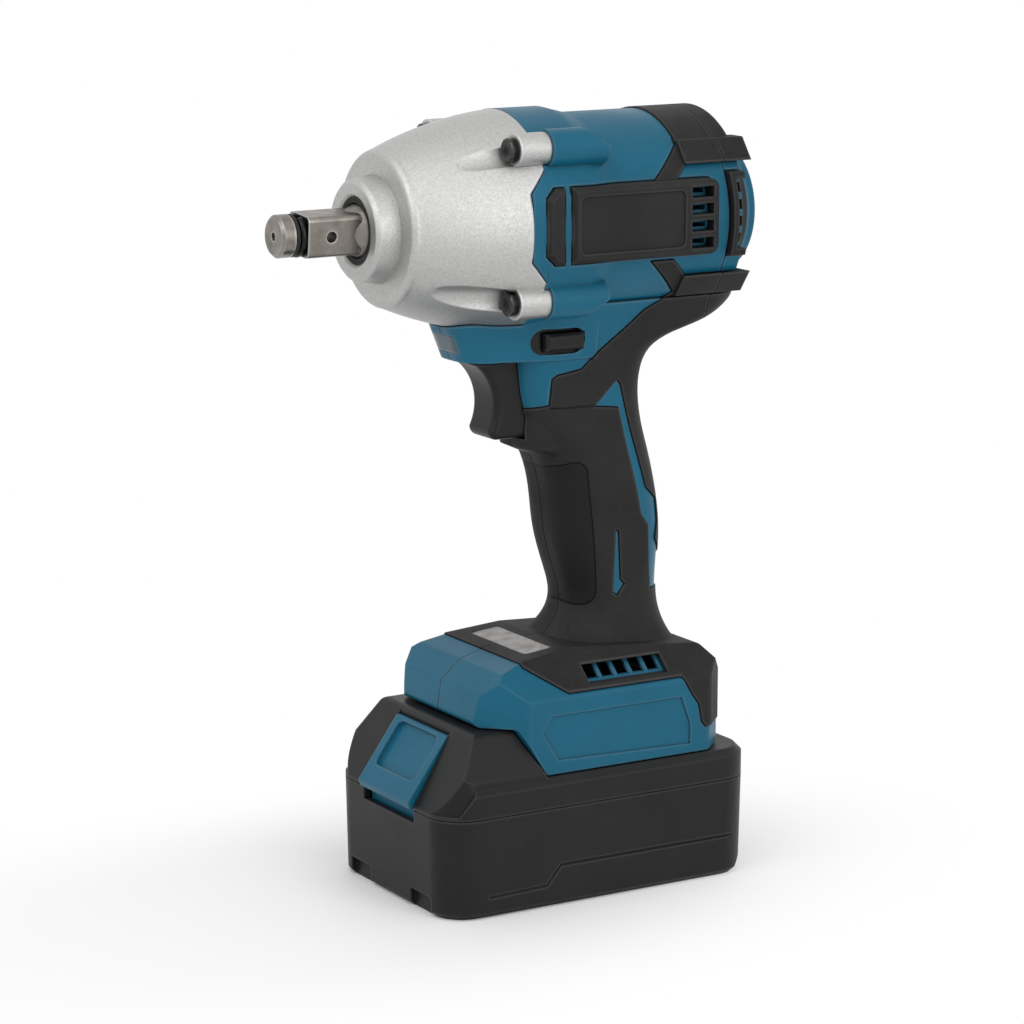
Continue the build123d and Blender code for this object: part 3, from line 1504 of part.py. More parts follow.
# Electronics in the foot
controller_middle = (controller_front_x + controller_back_x) / 2
controller_length = controller_front_x - controller_back_x
with BuildPart() as controller:
    with Locations((controller_middle, 0, foot_floor + controller_height / 2)):
        Box(controller_length, 2 * controller_half_width, controller_height)
    with BuildSketch(Plane.XY.offset(foot_floor + controller_height)):
        with Locations((controller_middle, 0)):
            Rectangle(controller_length - 2 * board_thickness, 2 * (controller_half_width - board_thickness))
    extrude(amount=-board_thickness, mode=Mode.SUBTRACT)

with BuildPart() as terminal_block:
    with BuildSketch(level_plane(channel_back_x, (terminal_bottom + channel_top) / 2)):
        Rectangle(2 * terminal_half_width, channel_top - terminal_bottom)
    extrude(amount=terminal_front_x - channel_back_x)

with BuildPart() as terminal_blades:
    with BuildSketch(level_plane(terminal_front_x, blade_bottom + blade_height / 2)):
        with Locations(*[(y, 0) for y in blade_spots]):
            Rectangle(blade_thickness, blade_height)
    extrude(amount=blade_length)

# Battery: hump and rail of the upper case, room for the button
notch_gap = sliding_clearance * math.hypot(foot_notch_x - foot_notch_back, foot_front_bottom - foot_bottom) / (
    foot_front_bottom - foot_bottom)
hump_side = [
    (foot_notch_back + notch_gap, battery_seam), (foot_notch_back + notch_gap, battery_top),
    (foot_notch_x + notch_gap, hump_top), (hump_brow_x, hump_top), (hump_toe_x, hump_toe_z),
    (hump_toe_x, battery_seam),
]
hump_front = [
    (hump_half_low, 0), (hump_half_low, hump_shoulder_z), (hump_half_high, hump_top), (-hump_half_high, hump_top),
    (-hump_half_low, hump_shoulder_z), (-hump_half_low, 0),
]
rail_neck_half = channel_lip_half - sliding_clearance
rail_head_half = channel_half_width - sliding_clearance
rail_head_low = foot_bottom + channel_lip_height + sliding_clearance
rail_middle = (rail_front_x + rail_back_x) / 2
button_room_half = button_half_width + sliding_clearance
button_drop = button_travel + sliding_clearance

with BuildPart() as hump:
    with BuildSketch(Plane.XZ.offset(-battery_width)):
        with BuildLine():
            FilletPolyline(*hump_side, radius=[0, 0, 0, hump_soft, 0, 0], close=True)
        make_face()
    extrude(amount=2 * battery_width)
    with BuildSketch(level_plane(0, 0)):
        with BuildLine():
            FilletPolyline(*hump_front, radius=[0, hump_soft, hump_soft, hump_soft, hump_soft, 0], close=True)
        make_face()
    extrude(amount=far, mode=Mode.INTERSECT)
    with BuildSketch(Plane.XY):
        RectangleRounded(battery_length, 2 * hump_half_low, battery_corner)
    extrude(amount=far, mode=Mode.INTERSECT)

# The side ledge of the upper case ends in front in a slope down to the seam
ledge_end = side_prism([[(ledge_x, battery_top), (ledge_toe_x, hump_toe_z), (far, hump_toe_z), (far, hump_top),
                         (ledge_x, hump_top)]], 0)

with BuildPart() as button_room:
    with BuildSketch(Plane.XZ.offset(-button_room_half)):
        with BuildLine():
            Polyline((button_back_x - sliding_clearance, far),
                     (button_back_x - sliding_clearance, button_inner_top - button_drop),
                     (button_skirt_back - sliding_clearance, button_inner_low - button_drop),
                     (button_skirt_back - sliding_clearance, button_notch_z),
                     (far, button_notch_z), (far, far), close=True)
        make_face()
    extrude(amount=2 * button_room_half)
    with BuildSketch(Plane.XY.offset(button_spring_floor)):
        with Locations(((button_back_x + button_tail_front) / 2, 0)):
            Rectangle(button_tail_front - button_back_x + 2 * sliding_clearance,
                      2 * (button_tail_half + sliding_clearance))
    extrude(amount=hump_top - button_spring_floor)

with BuildPart() as battery_upper_case:
    with BuildSketch(Plane.XY.offset(battery_seam)):
        RectangleRounded(battery_length, battery_width, battery_corner)
    extrude(amount=battery_top - battery_seam)
    chamfer(battery_upper_case.faces().sort_by(Axis.Z)[-1].edges(), battery_shoulder)
    add(ledge_end, mode=Mode.SUBTRACT)
    add(hump.part)
    with BuildSketch(Plane.XY.offset(battery_seam)):
        RectangleRounded(battery_length - 2 * battery_wall, battery_width - 2 * battery_wall,
                         battery_corner - battery_wall)
        with Locations((battery_hollow_front - far / 2, 0)):
            Rectangle(far, far, mode=Mode.INTERSECT)
    extrude(amount=battery_top - battery_wall - battery_seam, mode=Mode.SUBTRACT)
    for half, low, high in ((rail_neck_half, battery_top - battery_wall, rail_head_low),
                            (rail_head_half, rail_head_low, rail_top)):
        with BuildSketch(Plane.XY.offset(low)):
            with Locations((rail_middle, 0)):
                Rectangle(rail_front_x - rail_back_x, 2 * half)
        extrude(amount=high - low)
    # Rail hollow for the contacts, open to the cells, with a slot for each blade
    with BuildSketch(Plane.XY.offset(battery_seam)):
        with Locations(((rail_hollow_front + rail_hollow_back) / 2, 0)):
            Rectangle(rail_hollow_front - rail_hollow_back, 2 * rail_hollow_half)
    extrude(amount=rail_top - battery_wall - battery_seam, mode=Mode.SUBTRACT)
    with BuildSketch(Plane.XY.offset(blade_bottom - sliding_clearance)):
        with Locations(*[(rail_back_x + rail_slot_length / 2, y) for y in blade_spots]):
            Rectangle(rail_slot_length, rail_slot_width)
    extrude(amount=far, mode=Mode.SUBTRACT)
    with BuildSketch(Plane.XY.offset(battery_seam)):
        with Locations(*battery_screw_spots):
            Circle(battery_post_radius)
    extrude(amount=battery_top - battery_wall / 2 - battery_seam)
    with BuildSketch(Plane.XY.offset(battery_seam)):
        with Locations(*battery_screw_spots):
            Circle(battery_screw_shank_radius)
    extrude(amount=battery_screw_top - battery_seam, mode=Mode.SUBTRACT)
    add(button_room.part, mode=Mode.SUBTRACT)

# Battery: lower case
tail_corner = [
    (-battery_length / 2 - 1, -1), (battery_tail_cut - battery_length / 2 + 1, -1),
    (-battery_length / 2 - 1, battery_tail_cut + 1),
]
tail_block = side_prism([tail_corner], 0)
tail_inside = side_prism([tail_corner], battery_wall)
toe_notch_x = battery_length / 2 - toe_notch_depth
toe_notch_spots = [(toe_notch_x + toe_notch_depth, side * toe_notch_y) for side in (1, -1)]
with BuildPart() as battery_inside:
    with BuildSketch(Plane.XY.offset(battery_seam)):
        RectangleRounded(battery_length - 2 * battery_wall, battery_width - 2 * battery_wall,
                         battery_corner - battery_wall)
    extrude(amount=battery_wall - battery_seam, taper=battery_draft)
    add(tail_inside, mode=Mode.SUBTRACT)
    with BuildSketch(Plane.XY):
        with Locations(*toe_notch_spots):
            Rectangle(2 * (toe_notch_depth + battery_wall), toe_notch_width + 2 * battery_wall)
    extrude(amount=toe_notch_height + battery_wall, mode=Mode.SUBTRACT)
    with BuildSketch(Plane.XY):
        with Locations(*battery_screw_spots):
            Circle(battery_post_radius + 2 * seat_gap)
    extrude(amount=battery_screw_seat + battery_wall, mode=Mode.SUBTRACT)
    with BuildSketch(Plane.XY):
        with Locations(*battery_screw_spots):
            Circle(battery_post_radius)
    extrude(amount=far, mode=Mode.SUBTRACT)

with BuildPart() as battery_lower_case:
    with BuildSketch(Plane.XY.offset(battery_seam - seat_gap)):
        RectangleRounded(battery_length, battery_width, battery_corner)
    extrude(amount=seat_gap - battery_seam, taper=battery_draft)
    chamfer(battery_lower_case.faces().sort_by(Axis.Z)[0].edges(), battery_foot_chamfer)
    add(tail_block, mode=Mode.SUBTRACT)
    add(battery_inside.part, mode=Mode.SUBTRACT)
    with BuildSketch(Plane.XY):
        with Locations(*toe_notch_spots):
            Rectangle(2 * toe_notch_depth, toe_notch_width)
    extrude(amount=toe_notch_height, mode=Mode.SUBTRACT)
    with BuildSketch(Plane.XY):
        with Locations(*battery_screw_spots):
            Circle(battery_screw_head_radius)
    extrude(amount=battery_screw_seat, mode=Mode.SUBTRACT)
    with BuildSketch(Plane.XY):
        with Locations(*battery_screw_spots):
            Circle(battery_screw_shank_radius)
    extrude(amount=battery_seam, mode=Mode.SUBTRACT)
    add(button_room.part, mode=Mode.SUBTRACT)
    for side in (1, -1):
        with BuildSketch(Plane.XZ.offset(-side * battery_width / 2)):
            with BuildLine() as line:
                Polyline(*battery_line)
            trace(line.edges(), battery_line_width)
        extrude(amount=side * battery_line_depth, mode=Mode.SUBTRACT)

# Battery: cells with their end plates, board, contacts and screws
cell_spots = [(cell_middle_x + cell_pitch_x * (column - (cell_columns - 1) / 2), cell_first_z + cell_pitch_z * row)
              for column in range(cell_columns) for row in range(2)]
with BuildPart() as battery_cells:
    with BuildSketch(Plane.XZ.offset(-cell_length / 2)):
        with Locations(*cell_spots):
            Circle(cell_radius)
    extrude(amount=cell_length)

with BuildPart() as cell_plates:
    for side in (1, -1):
        with BuildSketch(Plane.XZ.offset(-side * cell_length / 2)):
            with Locations(*cell_spots):
                Rectangle(cell_pitch_x - cell_plate_gap, cell_pitch_z - cell_plate_gap)
        extrude(amount=-side * cell_plate_thickness)

with BuildPart() as battery_board:
    with BuildSketch(Plane.XY.offset(board_z)):
        with Locations(((board_front_x + board_back_x) / 2, 0)):
            Rectangle(board_front_x - board_back_x, 2 * board_half_width)
    extrude(amount=board_thickness)

with BuildPart() as battery_terminals:
    with BuildSketch(Plane.XY.offset(board_z + board_thickness)):
        with Locations(*[((clip_front_x + clip_back_x) / 2, y) for y in blade_spots]):
            Rectangle(clip_front_x - clip_back_x, 2 * clip_half_width)
        with Locations(*[(clip_back_x + (clip_front_x - clip_back_x) / 2 - clip_wall, y) for y in blade_spots]):
            Rectangle(clip_front_x - clip_back_x, 2 * (clip_half_width - clip_wall), mode=Mode.SUBTRACT)
    extrude(amount=clip_height)

with BuildPart() as battery_screws:
    with BuildSketch(Plane.XY.offset(battery_screw_seat)):
        with Locations(*battery_screw_spots):
            Circle(battery_screw_head_radius)
    extrude(amount=-battery_screw_head_length)
    with BuildSketch(Plane.XY.offset(battery_screw_seat)):
        with Locations(*battery_screw_spots):
            Circle(battery_screw_shank_radius)
    extrude(amount=battery_screw_top - battery_screw_seat)

# Release button and its spring
button_slope = math.hypot(button_lip_x - button_face_x, button_top - button_lip_z)
slope_x = (button_lip_x - button_face_x) / button_slope
slope_z = (button_lip_z - button_top) / button_slope
tray_middle = (tray_top + tray_bottom) / 2
tray_plane = Plane(origin=(button_face_x + tray_middle * slope_x, 0, button_top + tray_middle * slope_z),
                   x_dir=(0, 1, 0), z_dir=(-slope_z, 0, slope_x))
with BuildPart() as release_button:
    with BuildSketch(Plane.XZ.offset(-button_half_width)):
        with BuildLine():
            Polyline((button_back_x, button_top), (button_face_x, button_top), (button_lip_x, button_lip_z),
                     (button_lip_x - button_lip_edge, button_lip_z - button_lip_depth),
                     (button_skirt_front, button_lip_z - button_lip_depth),
                     (button_skirt_front, button_skirt_bottom), (button_skirt_back, button_skirt_bottom),
                     (button_skirt_back, button_inner_low), (button_back_x, button_inner_top), close=True)
        make_face()
    extrude(amount=2 * button_half_width)
    with BuildSketch(tray_plane):
        RectangleRounded(2 * tray_half_width, tray_bottom - tray_top, tray_corner)
    extrude(amount=-tray_depth, mode=Mode.SUBTRACT)
    with BuildSketch(Plane.XY.offset(button_tail_bottom)):
        with Locations(((button_back_x + button_tail_front) / 2, 0)):
            Rectangle(button_tail_front - button_back_x, 2 * button_tail_half)
    extrude(amount=button_spring_top - button_tail_bottom)
    with BuildSketch(Plane.XY.offset(button_spring_floor)):
        with Locations((button_spring_x, 0)):
            Circle(button_spring_radius + button_spring_wire)
    extrude(amount=button_spring_top - button_spring_floor, mode=Mode.SUBTRACT)

button_spring = coil_spring((button_spring_x, 0, button_spring_floor), (0, 0, 1), button_spring_radius,
                            button_spring_wire, button_spring_top - button_spring_floor, button_spring_turns)

pieces = {
    "anvil": anvil, "anvil_o_ring": anvil_o_ring, "friction_ring": friction_ring,
    "hammer_case": hammer_case, "hammer_case_screws": hammer_case_screws, "front_bush": front_bush,
    "nose_seal": nose_seal, "hammer": hammer, "spindle": spindle, "cam_balls": cam_balls,
    "planet_pins": planet_pins, "hammer_spring": hammer_spring, "ring_gear": ring_gear,
    "spindle_bearing": spindle_bearing, "front_motor_bearing": front_motor_bearing,
    "rear_motor_bearing": rear_motor_bearing, "gearbox_plate": gearbox_plate,
    "stator_core": stator_core, "stator_coils": stator_coils, "rotor_shaft": rotor_shaft,
    "rotor_core": rotor_core, "rotor_magnets": rotor_magnets, "sensor_board": sensor_board,
    "cooling_fan": cooling_fan, "left_housing": left_housing, "right_housing": right_housing,
    "housing_screws": housing_screws, "left_overmould": left_overmould, "right_overmould": right_overmould,
    "rear_cover": rear_cover, "rear_bumper": rear_bumper, "light_lens": light_lens, "light_board": light_board,
    "display_lens": display_lens, "display_board": display_board, "trigger": trigger,
    "trigger_spring": trigger_spring, "switch_body": switch_body, "selector": selector,
    "controller": controller, "terminal_block": terminal_block, "terminal_blades": terminal_blades,
    "battery_upper_case": battery_upper_case, "battery_lower_case": battery_lower_case,
    "battery_cells": battery_cells, "cell_plates": cell_plates, "battery_board": battery_board,
    "battery_terminals": battery_terminals, "battery_screws": battery_screws,
    "release_button": release_button, "button_spring": button_spring,
}
for index, planet_gear in enumerate(planet_gears, start=1):
    pieces[f"planet_gear_{index}"] = planet_gear

os.makedirs("parts", exist_ok=True)
for name, piece in pieces.items():
    piece.part.label = name
    export_step(piece.part, f"parts/{name}.step")
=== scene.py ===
"""Looks of a cordless impact wrench: finishes, fasteners, floor, light and camera.

Metres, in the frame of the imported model: +X is the drive direction, +Y the tool's left side, +Z up.
"""
import json
import math

import bmesh
import bpy
from bpy.props import FloatProperty, FloatVectorProperty, PointerProperty
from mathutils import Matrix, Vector

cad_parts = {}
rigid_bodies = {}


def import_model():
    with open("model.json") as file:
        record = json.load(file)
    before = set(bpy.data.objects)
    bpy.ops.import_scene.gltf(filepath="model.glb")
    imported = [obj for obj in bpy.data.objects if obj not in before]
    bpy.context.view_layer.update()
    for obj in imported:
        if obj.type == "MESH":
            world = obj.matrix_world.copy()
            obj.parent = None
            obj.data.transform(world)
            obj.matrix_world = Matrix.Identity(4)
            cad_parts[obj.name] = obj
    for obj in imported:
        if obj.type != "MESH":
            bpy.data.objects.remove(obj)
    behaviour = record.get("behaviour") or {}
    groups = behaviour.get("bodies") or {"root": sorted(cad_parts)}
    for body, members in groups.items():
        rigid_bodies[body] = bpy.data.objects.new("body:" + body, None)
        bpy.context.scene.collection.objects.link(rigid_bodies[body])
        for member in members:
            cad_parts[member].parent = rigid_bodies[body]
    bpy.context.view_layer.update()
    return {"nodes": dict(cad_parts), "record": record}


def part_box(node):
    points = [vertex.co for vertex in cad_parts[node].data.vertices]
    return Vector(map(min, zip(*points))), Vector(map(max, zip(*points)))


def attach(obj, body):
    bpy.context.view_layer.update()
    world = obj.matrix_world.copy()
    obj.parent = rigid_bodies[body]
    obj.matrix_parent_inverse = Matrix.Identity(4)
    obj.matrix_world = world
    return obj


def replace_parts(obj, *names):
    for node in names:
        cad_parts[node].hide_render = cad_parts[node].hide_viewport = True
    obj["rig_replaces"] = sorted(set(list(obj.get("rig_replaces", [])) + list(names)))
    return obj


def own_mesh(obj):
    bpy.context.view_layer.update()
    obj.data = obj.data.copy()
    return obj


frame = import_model()
nodes = frame["nodes"]
behaviour = frame["record"]["behaviour"]
body_of_node = {node: body for body, members in behaviour["bodies"].items() for node in members}

bl_info = {
    "name": "Impact wrench looks",
    "version": (1, 0, 0),
    "blender": (4, 5, 0),
    "location": "View3D > Sidebar > Wrench",
    "description": "Finishes, fasteners and studio for a cordless impact wrench",
    "category": "Object",
}

# Joining and shading of the CAD meshes: reaches in metres, creases in degrees
JOIN_REACH = 2e-6
SLIVER_REACH = 1e-6
CURVE_CREASE = 18.5
COIL_CREASE = 50.0
SCREW_CREASE = 30.0
# A corner is shaded anew when it leans from its own face by more than this many creases
LEAN_LIMIT = 1.4

# The panel in the front of the grip and the line across the neck, in side view
GRIP_PANEL = {"Middle_X": 0.0106, "Middle_Z": 0.1103, "Half_X": 0.0194, "Half_Z": 0.0211, "Corner": 0.005,
              "Lean": 0.122, "Top_slope": -0.35}
NECK_LINE = {"Middle_X": -0.0006, "Middle_Z": 0.1549, "Half_X": 0.0076, "Half_Z": 0.0002, "Corner": 0.0002}

# Screw heads: shares of the head's length and radius, and sides of the round and six-sided shapes
CHAMFER_LENGTH = 0.16
CHAMFER_RADIUS = 0.86
SOCKET_DEPTH = 0.62
HEAD_SIDES = 40
SHANK_SIDES = 24
SOCKET_SIDES = 6

WHITE = (1.0, 1.0, 1.0, 1.0)
FLOOR_HALF = 12.0


def colour(name, description, default):
    """Property that holds one finish's colour."""
    return FloatVectorProperty(name=name, description=description, default=default, subtype="COLOR",
                               size=3, min=0.0, max=1.0)


def length(name, description, default):
    """Property that holds a length in metres."""
    return FloatProperty(name=name, description=description, default=default, unit="LENGTH", precision=5)


def power(name, description, default):
    """Property that holds a lamp's power in watts."""
    return FloatProperty(name=name, description=description, default=default, unit="POWER")


class WrenchFinish(bpy.types.PropertyGroup):
    """Colours of the wrench, linear; most finishes have a base and a shade that it drifts to."""

    teal: colour("Teal", "Moulded housing", (0.0040, 0.103, 0.174))
    teal_shade: colour("Teal shade", "Housing where it is a little duller", (0.0035, 0.090, 0.153))
    rubber: colour("Rubber", "Grip rubber", (0.0180, 0.0178, 0.0176))
    rubber_shade: colour("Rubber shade", "Grip rubber where hands polish it", (0.0145, 0.0143, 0.0141))
    panel: colour("Grip panel", "Rubber of the panel in the front of the grip", (0.0095, 0.0094, 0.0093))
    # Near-black tint laid into the moulded lines: painted shade at the bottom of the grooves
    groove: colour("Painted groove shade", "Bottom of the moulded lines", (0.0030, 0.0030, 0.0030))
    black: colour("Black plastic", "Battery and controls", (0.0092, 0.0092, 0.0094))
    black_shade: colour("Black shade", "Battery where it is a little paler", (0.0125, 0.0125, 0.0127))
    aluminium: colour("Aluminium", "Hammer case", (0.52, 0.52, 0.51))
    aluminium_shade: colour("Aluminium shade", "Duller specks of the casting", (0.42, 0.42, 0.412))
    steel: colour("Drive steel", "Square drive", (0.245, 0.226, 0.203))
    steel_shade: colour("Drive steel shade", "Oil stains on the square drive", (0.165, 0.150, 0.134))
    oxide: colour("Blackened steel", "Screws", (0.015, 0.0147, 0.0145))
    oxide_shade: colour("Blackened shade", "Specks of the screws", (0.015, 0.0147, 0.0145))
    window: colour("Display window", "Display of the foot", (0.270, 0.258, 0.247))
    window_shade: colour("Display shade", "Darker clouds in the display", (0.150, 0.142, 0.136))
    lens: colour("Light window", "Lens of the work light", (0.020, 0.062, 0.084))
    lens_shade: colour("Light window shade", "Deeper tone in the lens", (0.012, 0.042, 0.058))
    bright: colour("Bright steel", "Springs, bearings and balls", (0.55, 0.54, 0.52))
    bright_shade: colour("Bright steel shade", "Oil on the bright steel", (0.42, 0.41, 0.40))
    gear: colour("Gear steel", "Gears, spindle and hammer", (0.32, 0.31, 0.30))
    gear_shade: colour("Gear steel shade", "Oil on the gears", (0.22, 0.21, 0.20))
    bronze: colour("Bronze", "Sintered bush", (0.42, 0.25, 0.11))
    bronze_shade: colour("Bronze shade", "Oil in the bush", (0.32, 0.18, 0.08))
    copper: colour("Copper", "Coils and contacts", (0.62, 0.26, 0.13))
    copper_shade: colour("Copper shade", "Tarnish of the copper", (0.50, 0.19, 0.09))
    board: colour("Circuit board", "Solder mask", (0.010, 0.090, 0.036))
    board_shade: colour("Circuit board shade", "Paler solder mask", (0.012, 0.120, 0.048))
    sleeve: colour("Cell sleeve", "Sleeves of the battery cells", (0.020, 0.120, 0.080))
    sleeve_shade: colour("Cell sleeve shade", "Duller parts of the sleeves", (0.016, 0.100, 0.066))
    dust: colour("Dust", "Faint dust in the grain", (0.30, 0.29, 0.27))
    floor: colour("Floor", "Pale floor", (0.97, 0.97, 0.97))


class WrenchDetail(bpy.types.PropertyGroup):
    """Sizes of the small details."""

    edge_softness: length("Edge softness", "Radius of the moulded edges", 0.0009)
    hard_edge: length("Hard edge", "Radius of the cut metal edges", 0.00025)
    moulding_grain: length("Moulding grain", "Grain of the moulded plastic", 0.00040)
    rubber_grain: length("Rubber grain", "Grain of the rubber", 0.00055)
    casting_grain: length("Casting grain", "Grain of the blasted casting", 0.00042)
    oxide_grain: length("Oxide grain", "Grain of the blackened screws", 0.0006)
    window_grain: length("Display grain", "Grain of the display window", 0.0009)
    sleeve_grain: length("Sleeve grain", "Grain of the cells' sleeves", 0.0010)
    glossy_grain: length("Glossy grain", "Grain of the lens and of the solder mask", 0.0012)
    panel_depth: length("Panel depth", "How far the grip's front panel is let in", 0.00035)
    seam_depth: length("Seam depth", "Depth of the moulded lines", 0.00045)
    seam_width: length("Seam width", "Half width of the moulded lines", 0.00040)
    # Reach of the painted highlight on outer edges and of the painted shade in inner corners
    wear_reach: length("Painted light reach", "How far wear and grime reach from an edge", 0.00080)
    # Painted shade: a black oval round the selector stands for the shadow in the selector's hole
    pocket_length: length("Painted hole shade length", "Dark pocket round the selector, along X", 0.0184)
    pocket_height: length("Painted hole shade height", "Dark pocket round the selector, along Z", 0.0082)
    pocket_lead: length("Painted hole shade lead", "The pocket's middle, ahead of the selector's", 0.0017)
    socket_share: FloatProperty(name="Socket share", description="Screw socket's width over its head's",
                                default=0.60, min=0.2, max=0.8, subtype="FACTOR")


class WrenchStudio(bpy.types.PropertyGroup):
    """Camera and light."""

    azimuth: FloatProperty(name="Azimuth", description="Camera's turn from +Y towards +X",
                           default=math.radians(30.79), subtype="ANGLE")
    elevation: FloatProperty(name="Elevation", description="Camera's height above level",
                             default=math.radians(11.65), subtype="ANGLE")
    distance: length("Distance", "Camera to target", 1.1568)
    target: FloatVectorProperty(name="Target", description="Point the camera looks at",
                                default=(0.01187, 0.0, 0.1198), subtype="TRANSLATION")
    lens: FloatProperty(name="Lens", description="Focal length on a 36 mm sensor",
                        default=127.86, unit="CAMERA")
    sky: FloatProperty(name="Sky", description="Even light from all round", default=0.62, min=0.0)
    key: power("Key light", "Light from the camera's left", 8.0)
    fill: power("Fill light", "Light from the camera's right", 8.0)
    top: power("Top light", "Soft light from above the camera", 8.0)
    clear: length("Clear floor", "The floor fades to white from this far out, across", 0.040)
    white: length("White floor", "The floor is plain white from this far out, across", 0.130)
    floor_lead: length("Floor lead", "The clear floor's middle, ahead of the battery's", 0.090)
    floor_stretch: FloatProperty(name="Floor stretch", description="Clear floor's length over its width",
                                 default=2.0, min=0.1)


def place(tree, kind, inputs=None, **settings):
    """New node with its settings; each input is given a plain value or the socket that feeds it."""
    made = tree.nodes.new(kind)
    for name, value in settings.items():
        setattr(made, name, value)
    for name, value in (inputs or {}).items():
        if isinstance(value, bpy.types.NodeSocket):
            tree.links.new(value, made.inputs[name])
        else:
            made.inputs[name].default_value = value
    return made


def calc(tree, operation, *values):
    """Socket with the result of a sum of sockets and plain numbers."""
    return place(tree, "ShaderNodeMath", dict(enumerate(values)), operation=operation).outputs[0]


def object_coords(tree):
    """Socket with the place on the piece, in its own frame."""
    return place(tree, "ShaderNodeTexCoord").outputs["Object"]


def new_group(name, inputs, outputs):
    """Empty shader node group with its sockets; returns the group, what it is given and where it ends."""
    group = bpy.data.node_groups.new(name, "ShaderNodeTree")
    for socket, value in inputs.items():
        kind = "NodeSocketFloat" if isinstance(value, float) else "NodeSocketColor"
        group.interface.new_socket(socket, in_out="INPUT", socket_type=kind).default_value = value
    for socket, kind in outputs.items():
        group.interface.new_socket(socket, in_out="OUTPUT", socket_type="NodeSocket" + kind)
    return group, group.nodes.new("NodeGroupInput").outputs, group.nodes.new("NodeGroupOutput").inputs


def moulded_grain():
    """Fine spark-eroded grain, with slow patches of tone."""
    group, given, out = new_group(
        "moulded grain", {"Grains per metre": 2500.0, "Patches per metre": 30.0},
        {"Height": "Float", "Patch": "Float"})
    where = object_coords(group)
    grains, patches = given["Grains per metre"], given["Patches per metre"]
    fine = place(group, "ShaderNodeTexNoise",
                 {"Vector": where, "Scale": grains, "Detail": 2.0, "Roughness": 0.55})
    cells = place(group, "ShaderNodeTexVoronoi", {"Vector": where, "Scale": grains}, feature="SMOOTH_F1")
    slow = place(group, "ShaderNodeTexNoise",
                 {"Vector": where, "Scale": patches, "Detail": 4.0, "Roughness": 0.6})
    spread = place(group, "ShaderNodeMapRange",
                   {"Value": slow.outputs[0], "From Min": 0.35, "From Max": 0.65})
    height = calc(group, "MULTIPLY_ADD", cells.outputs["Distance"], 0.6, fine.outputs[0])
    group.links.new(height, out["Height"])
    group.links.new(spread.outputs["Result"], out["Patch"])
    return group


def cast_grain():
    """Bead-blasted metal: a bright speckle of tiny facets."""
    group, given, out = new_group(
        "cast grain", {"Grains per metre": 2400.0}, {"Height": "Float", "Speckle": "Float"})
    where, grains = object_coords(group), given["Grains per metre"]
    facets = place(group, "ShaderNodeTexVoronoi", {"Vector": where, "Scale": grains}, feature="F1")
    grey = place(group, "ShaderNodeRGBToBW", {"Color": facets.outputs["Color"]}).outputs["Val"]
    fine = place(group, "ShaderNodeTexNoise",
                 {"Vector": where, "Scale": grains, "Detail": 3.0, "Roughness": 0.6})
    group.links.new(calc(group, "MULTIPLY_ADD", grey, 0.5, fine.outputs[0]), out["Height"])
    group.links.new(grey, out["Speckle"])
    return group


def turning_marks():
    """Marks of a lathe round the drive axis, broken up by stains."""
    group, given, out = new_group(
        "turning marks", {"Marks per metre": 900.0, "Stains per metre": 160.0},
        {"Height": "Float", "Stain": "Float"})
    where = object_coords(group)
    rings = place(group, "ShaderNodeTexWave",
                  {"Vector": where, "Scale": given["Marks per metre"], "Distortion": 1.2, "Detail": 2.0,
                   "Detail Scale": 2.0}, wave_type="BANDS", bands_direction="X")
    stains = place(group, "ShaderNodeTexNoise",
                   {"Vector": where, "Scale": given["Stains per metre"], "Detail": 5.0, "Roughness": 0.65})
    spread = place(group, "ShaderNodeMapRange",
                   {"Value": stains.outputs[0], "From Min": 0.35, "From Max": 0.62})
    group.links.new(rings.outputs["Fac"], out["Height"])
    group.links.new(spread.outputs["Result"], out["Stain"])
    return group


def edges_and_corners():
    """Masks of a piece's outer edges and inner corners, within a reach."""
    group, given, out = new_group("edges and corners", {"Reach": 0.0008},
                                  {"Edge": "Float", "Corner": "Float"})
    # The Edge mask steers a painted highlight and the Corner mask a painted shade
    for name, inside, none, full in (("Edge", True, 0.92, 0.60), ("Corner", False, 0.90, 0.40)):
        hidden = place(group, "ShaderNodeAmbientOcclusion", {"Distance": given["Reach"]}, samples=4,
                       inside=inside, only_local=inside)
        mask = place(group, "ShaderNodeMapRange",
                     {"Value": hidden.outputs["AO"], "From Min": none, "From Max": full})
        group.links.new(mask.outputs["Result"], out[name])
    return group


def fading(tree, value, none_at, full_at=0.0):
    """Mask that is 1 up to a value and falls softly to 0 at another."""
    made = place(tree, "ShaderNodeMapRange",
                 {"Value": value, "From Min": full_at, "From Max": none_at, "To Min": 1.0, "To Max": 0.0},
                 interpolation_type="SMOOTHSTEP")
    return made.outputs["Result"]


def parting_line():
    """Mask of the line where the two moulds met, in the middle of the tool."""
    group, given, out = new_group("parting line", {"Width": 0.0003}, {"Line": "Float"})
    aside = place(group, "ShaderNodeSeparateXYZ", {"Vector": object_coords(group)}).outputs["Y"]
    group.links.new(fading(group, calc(group, "ABSOLUTE", aside), given["Width"]), out["Line"])
    return group


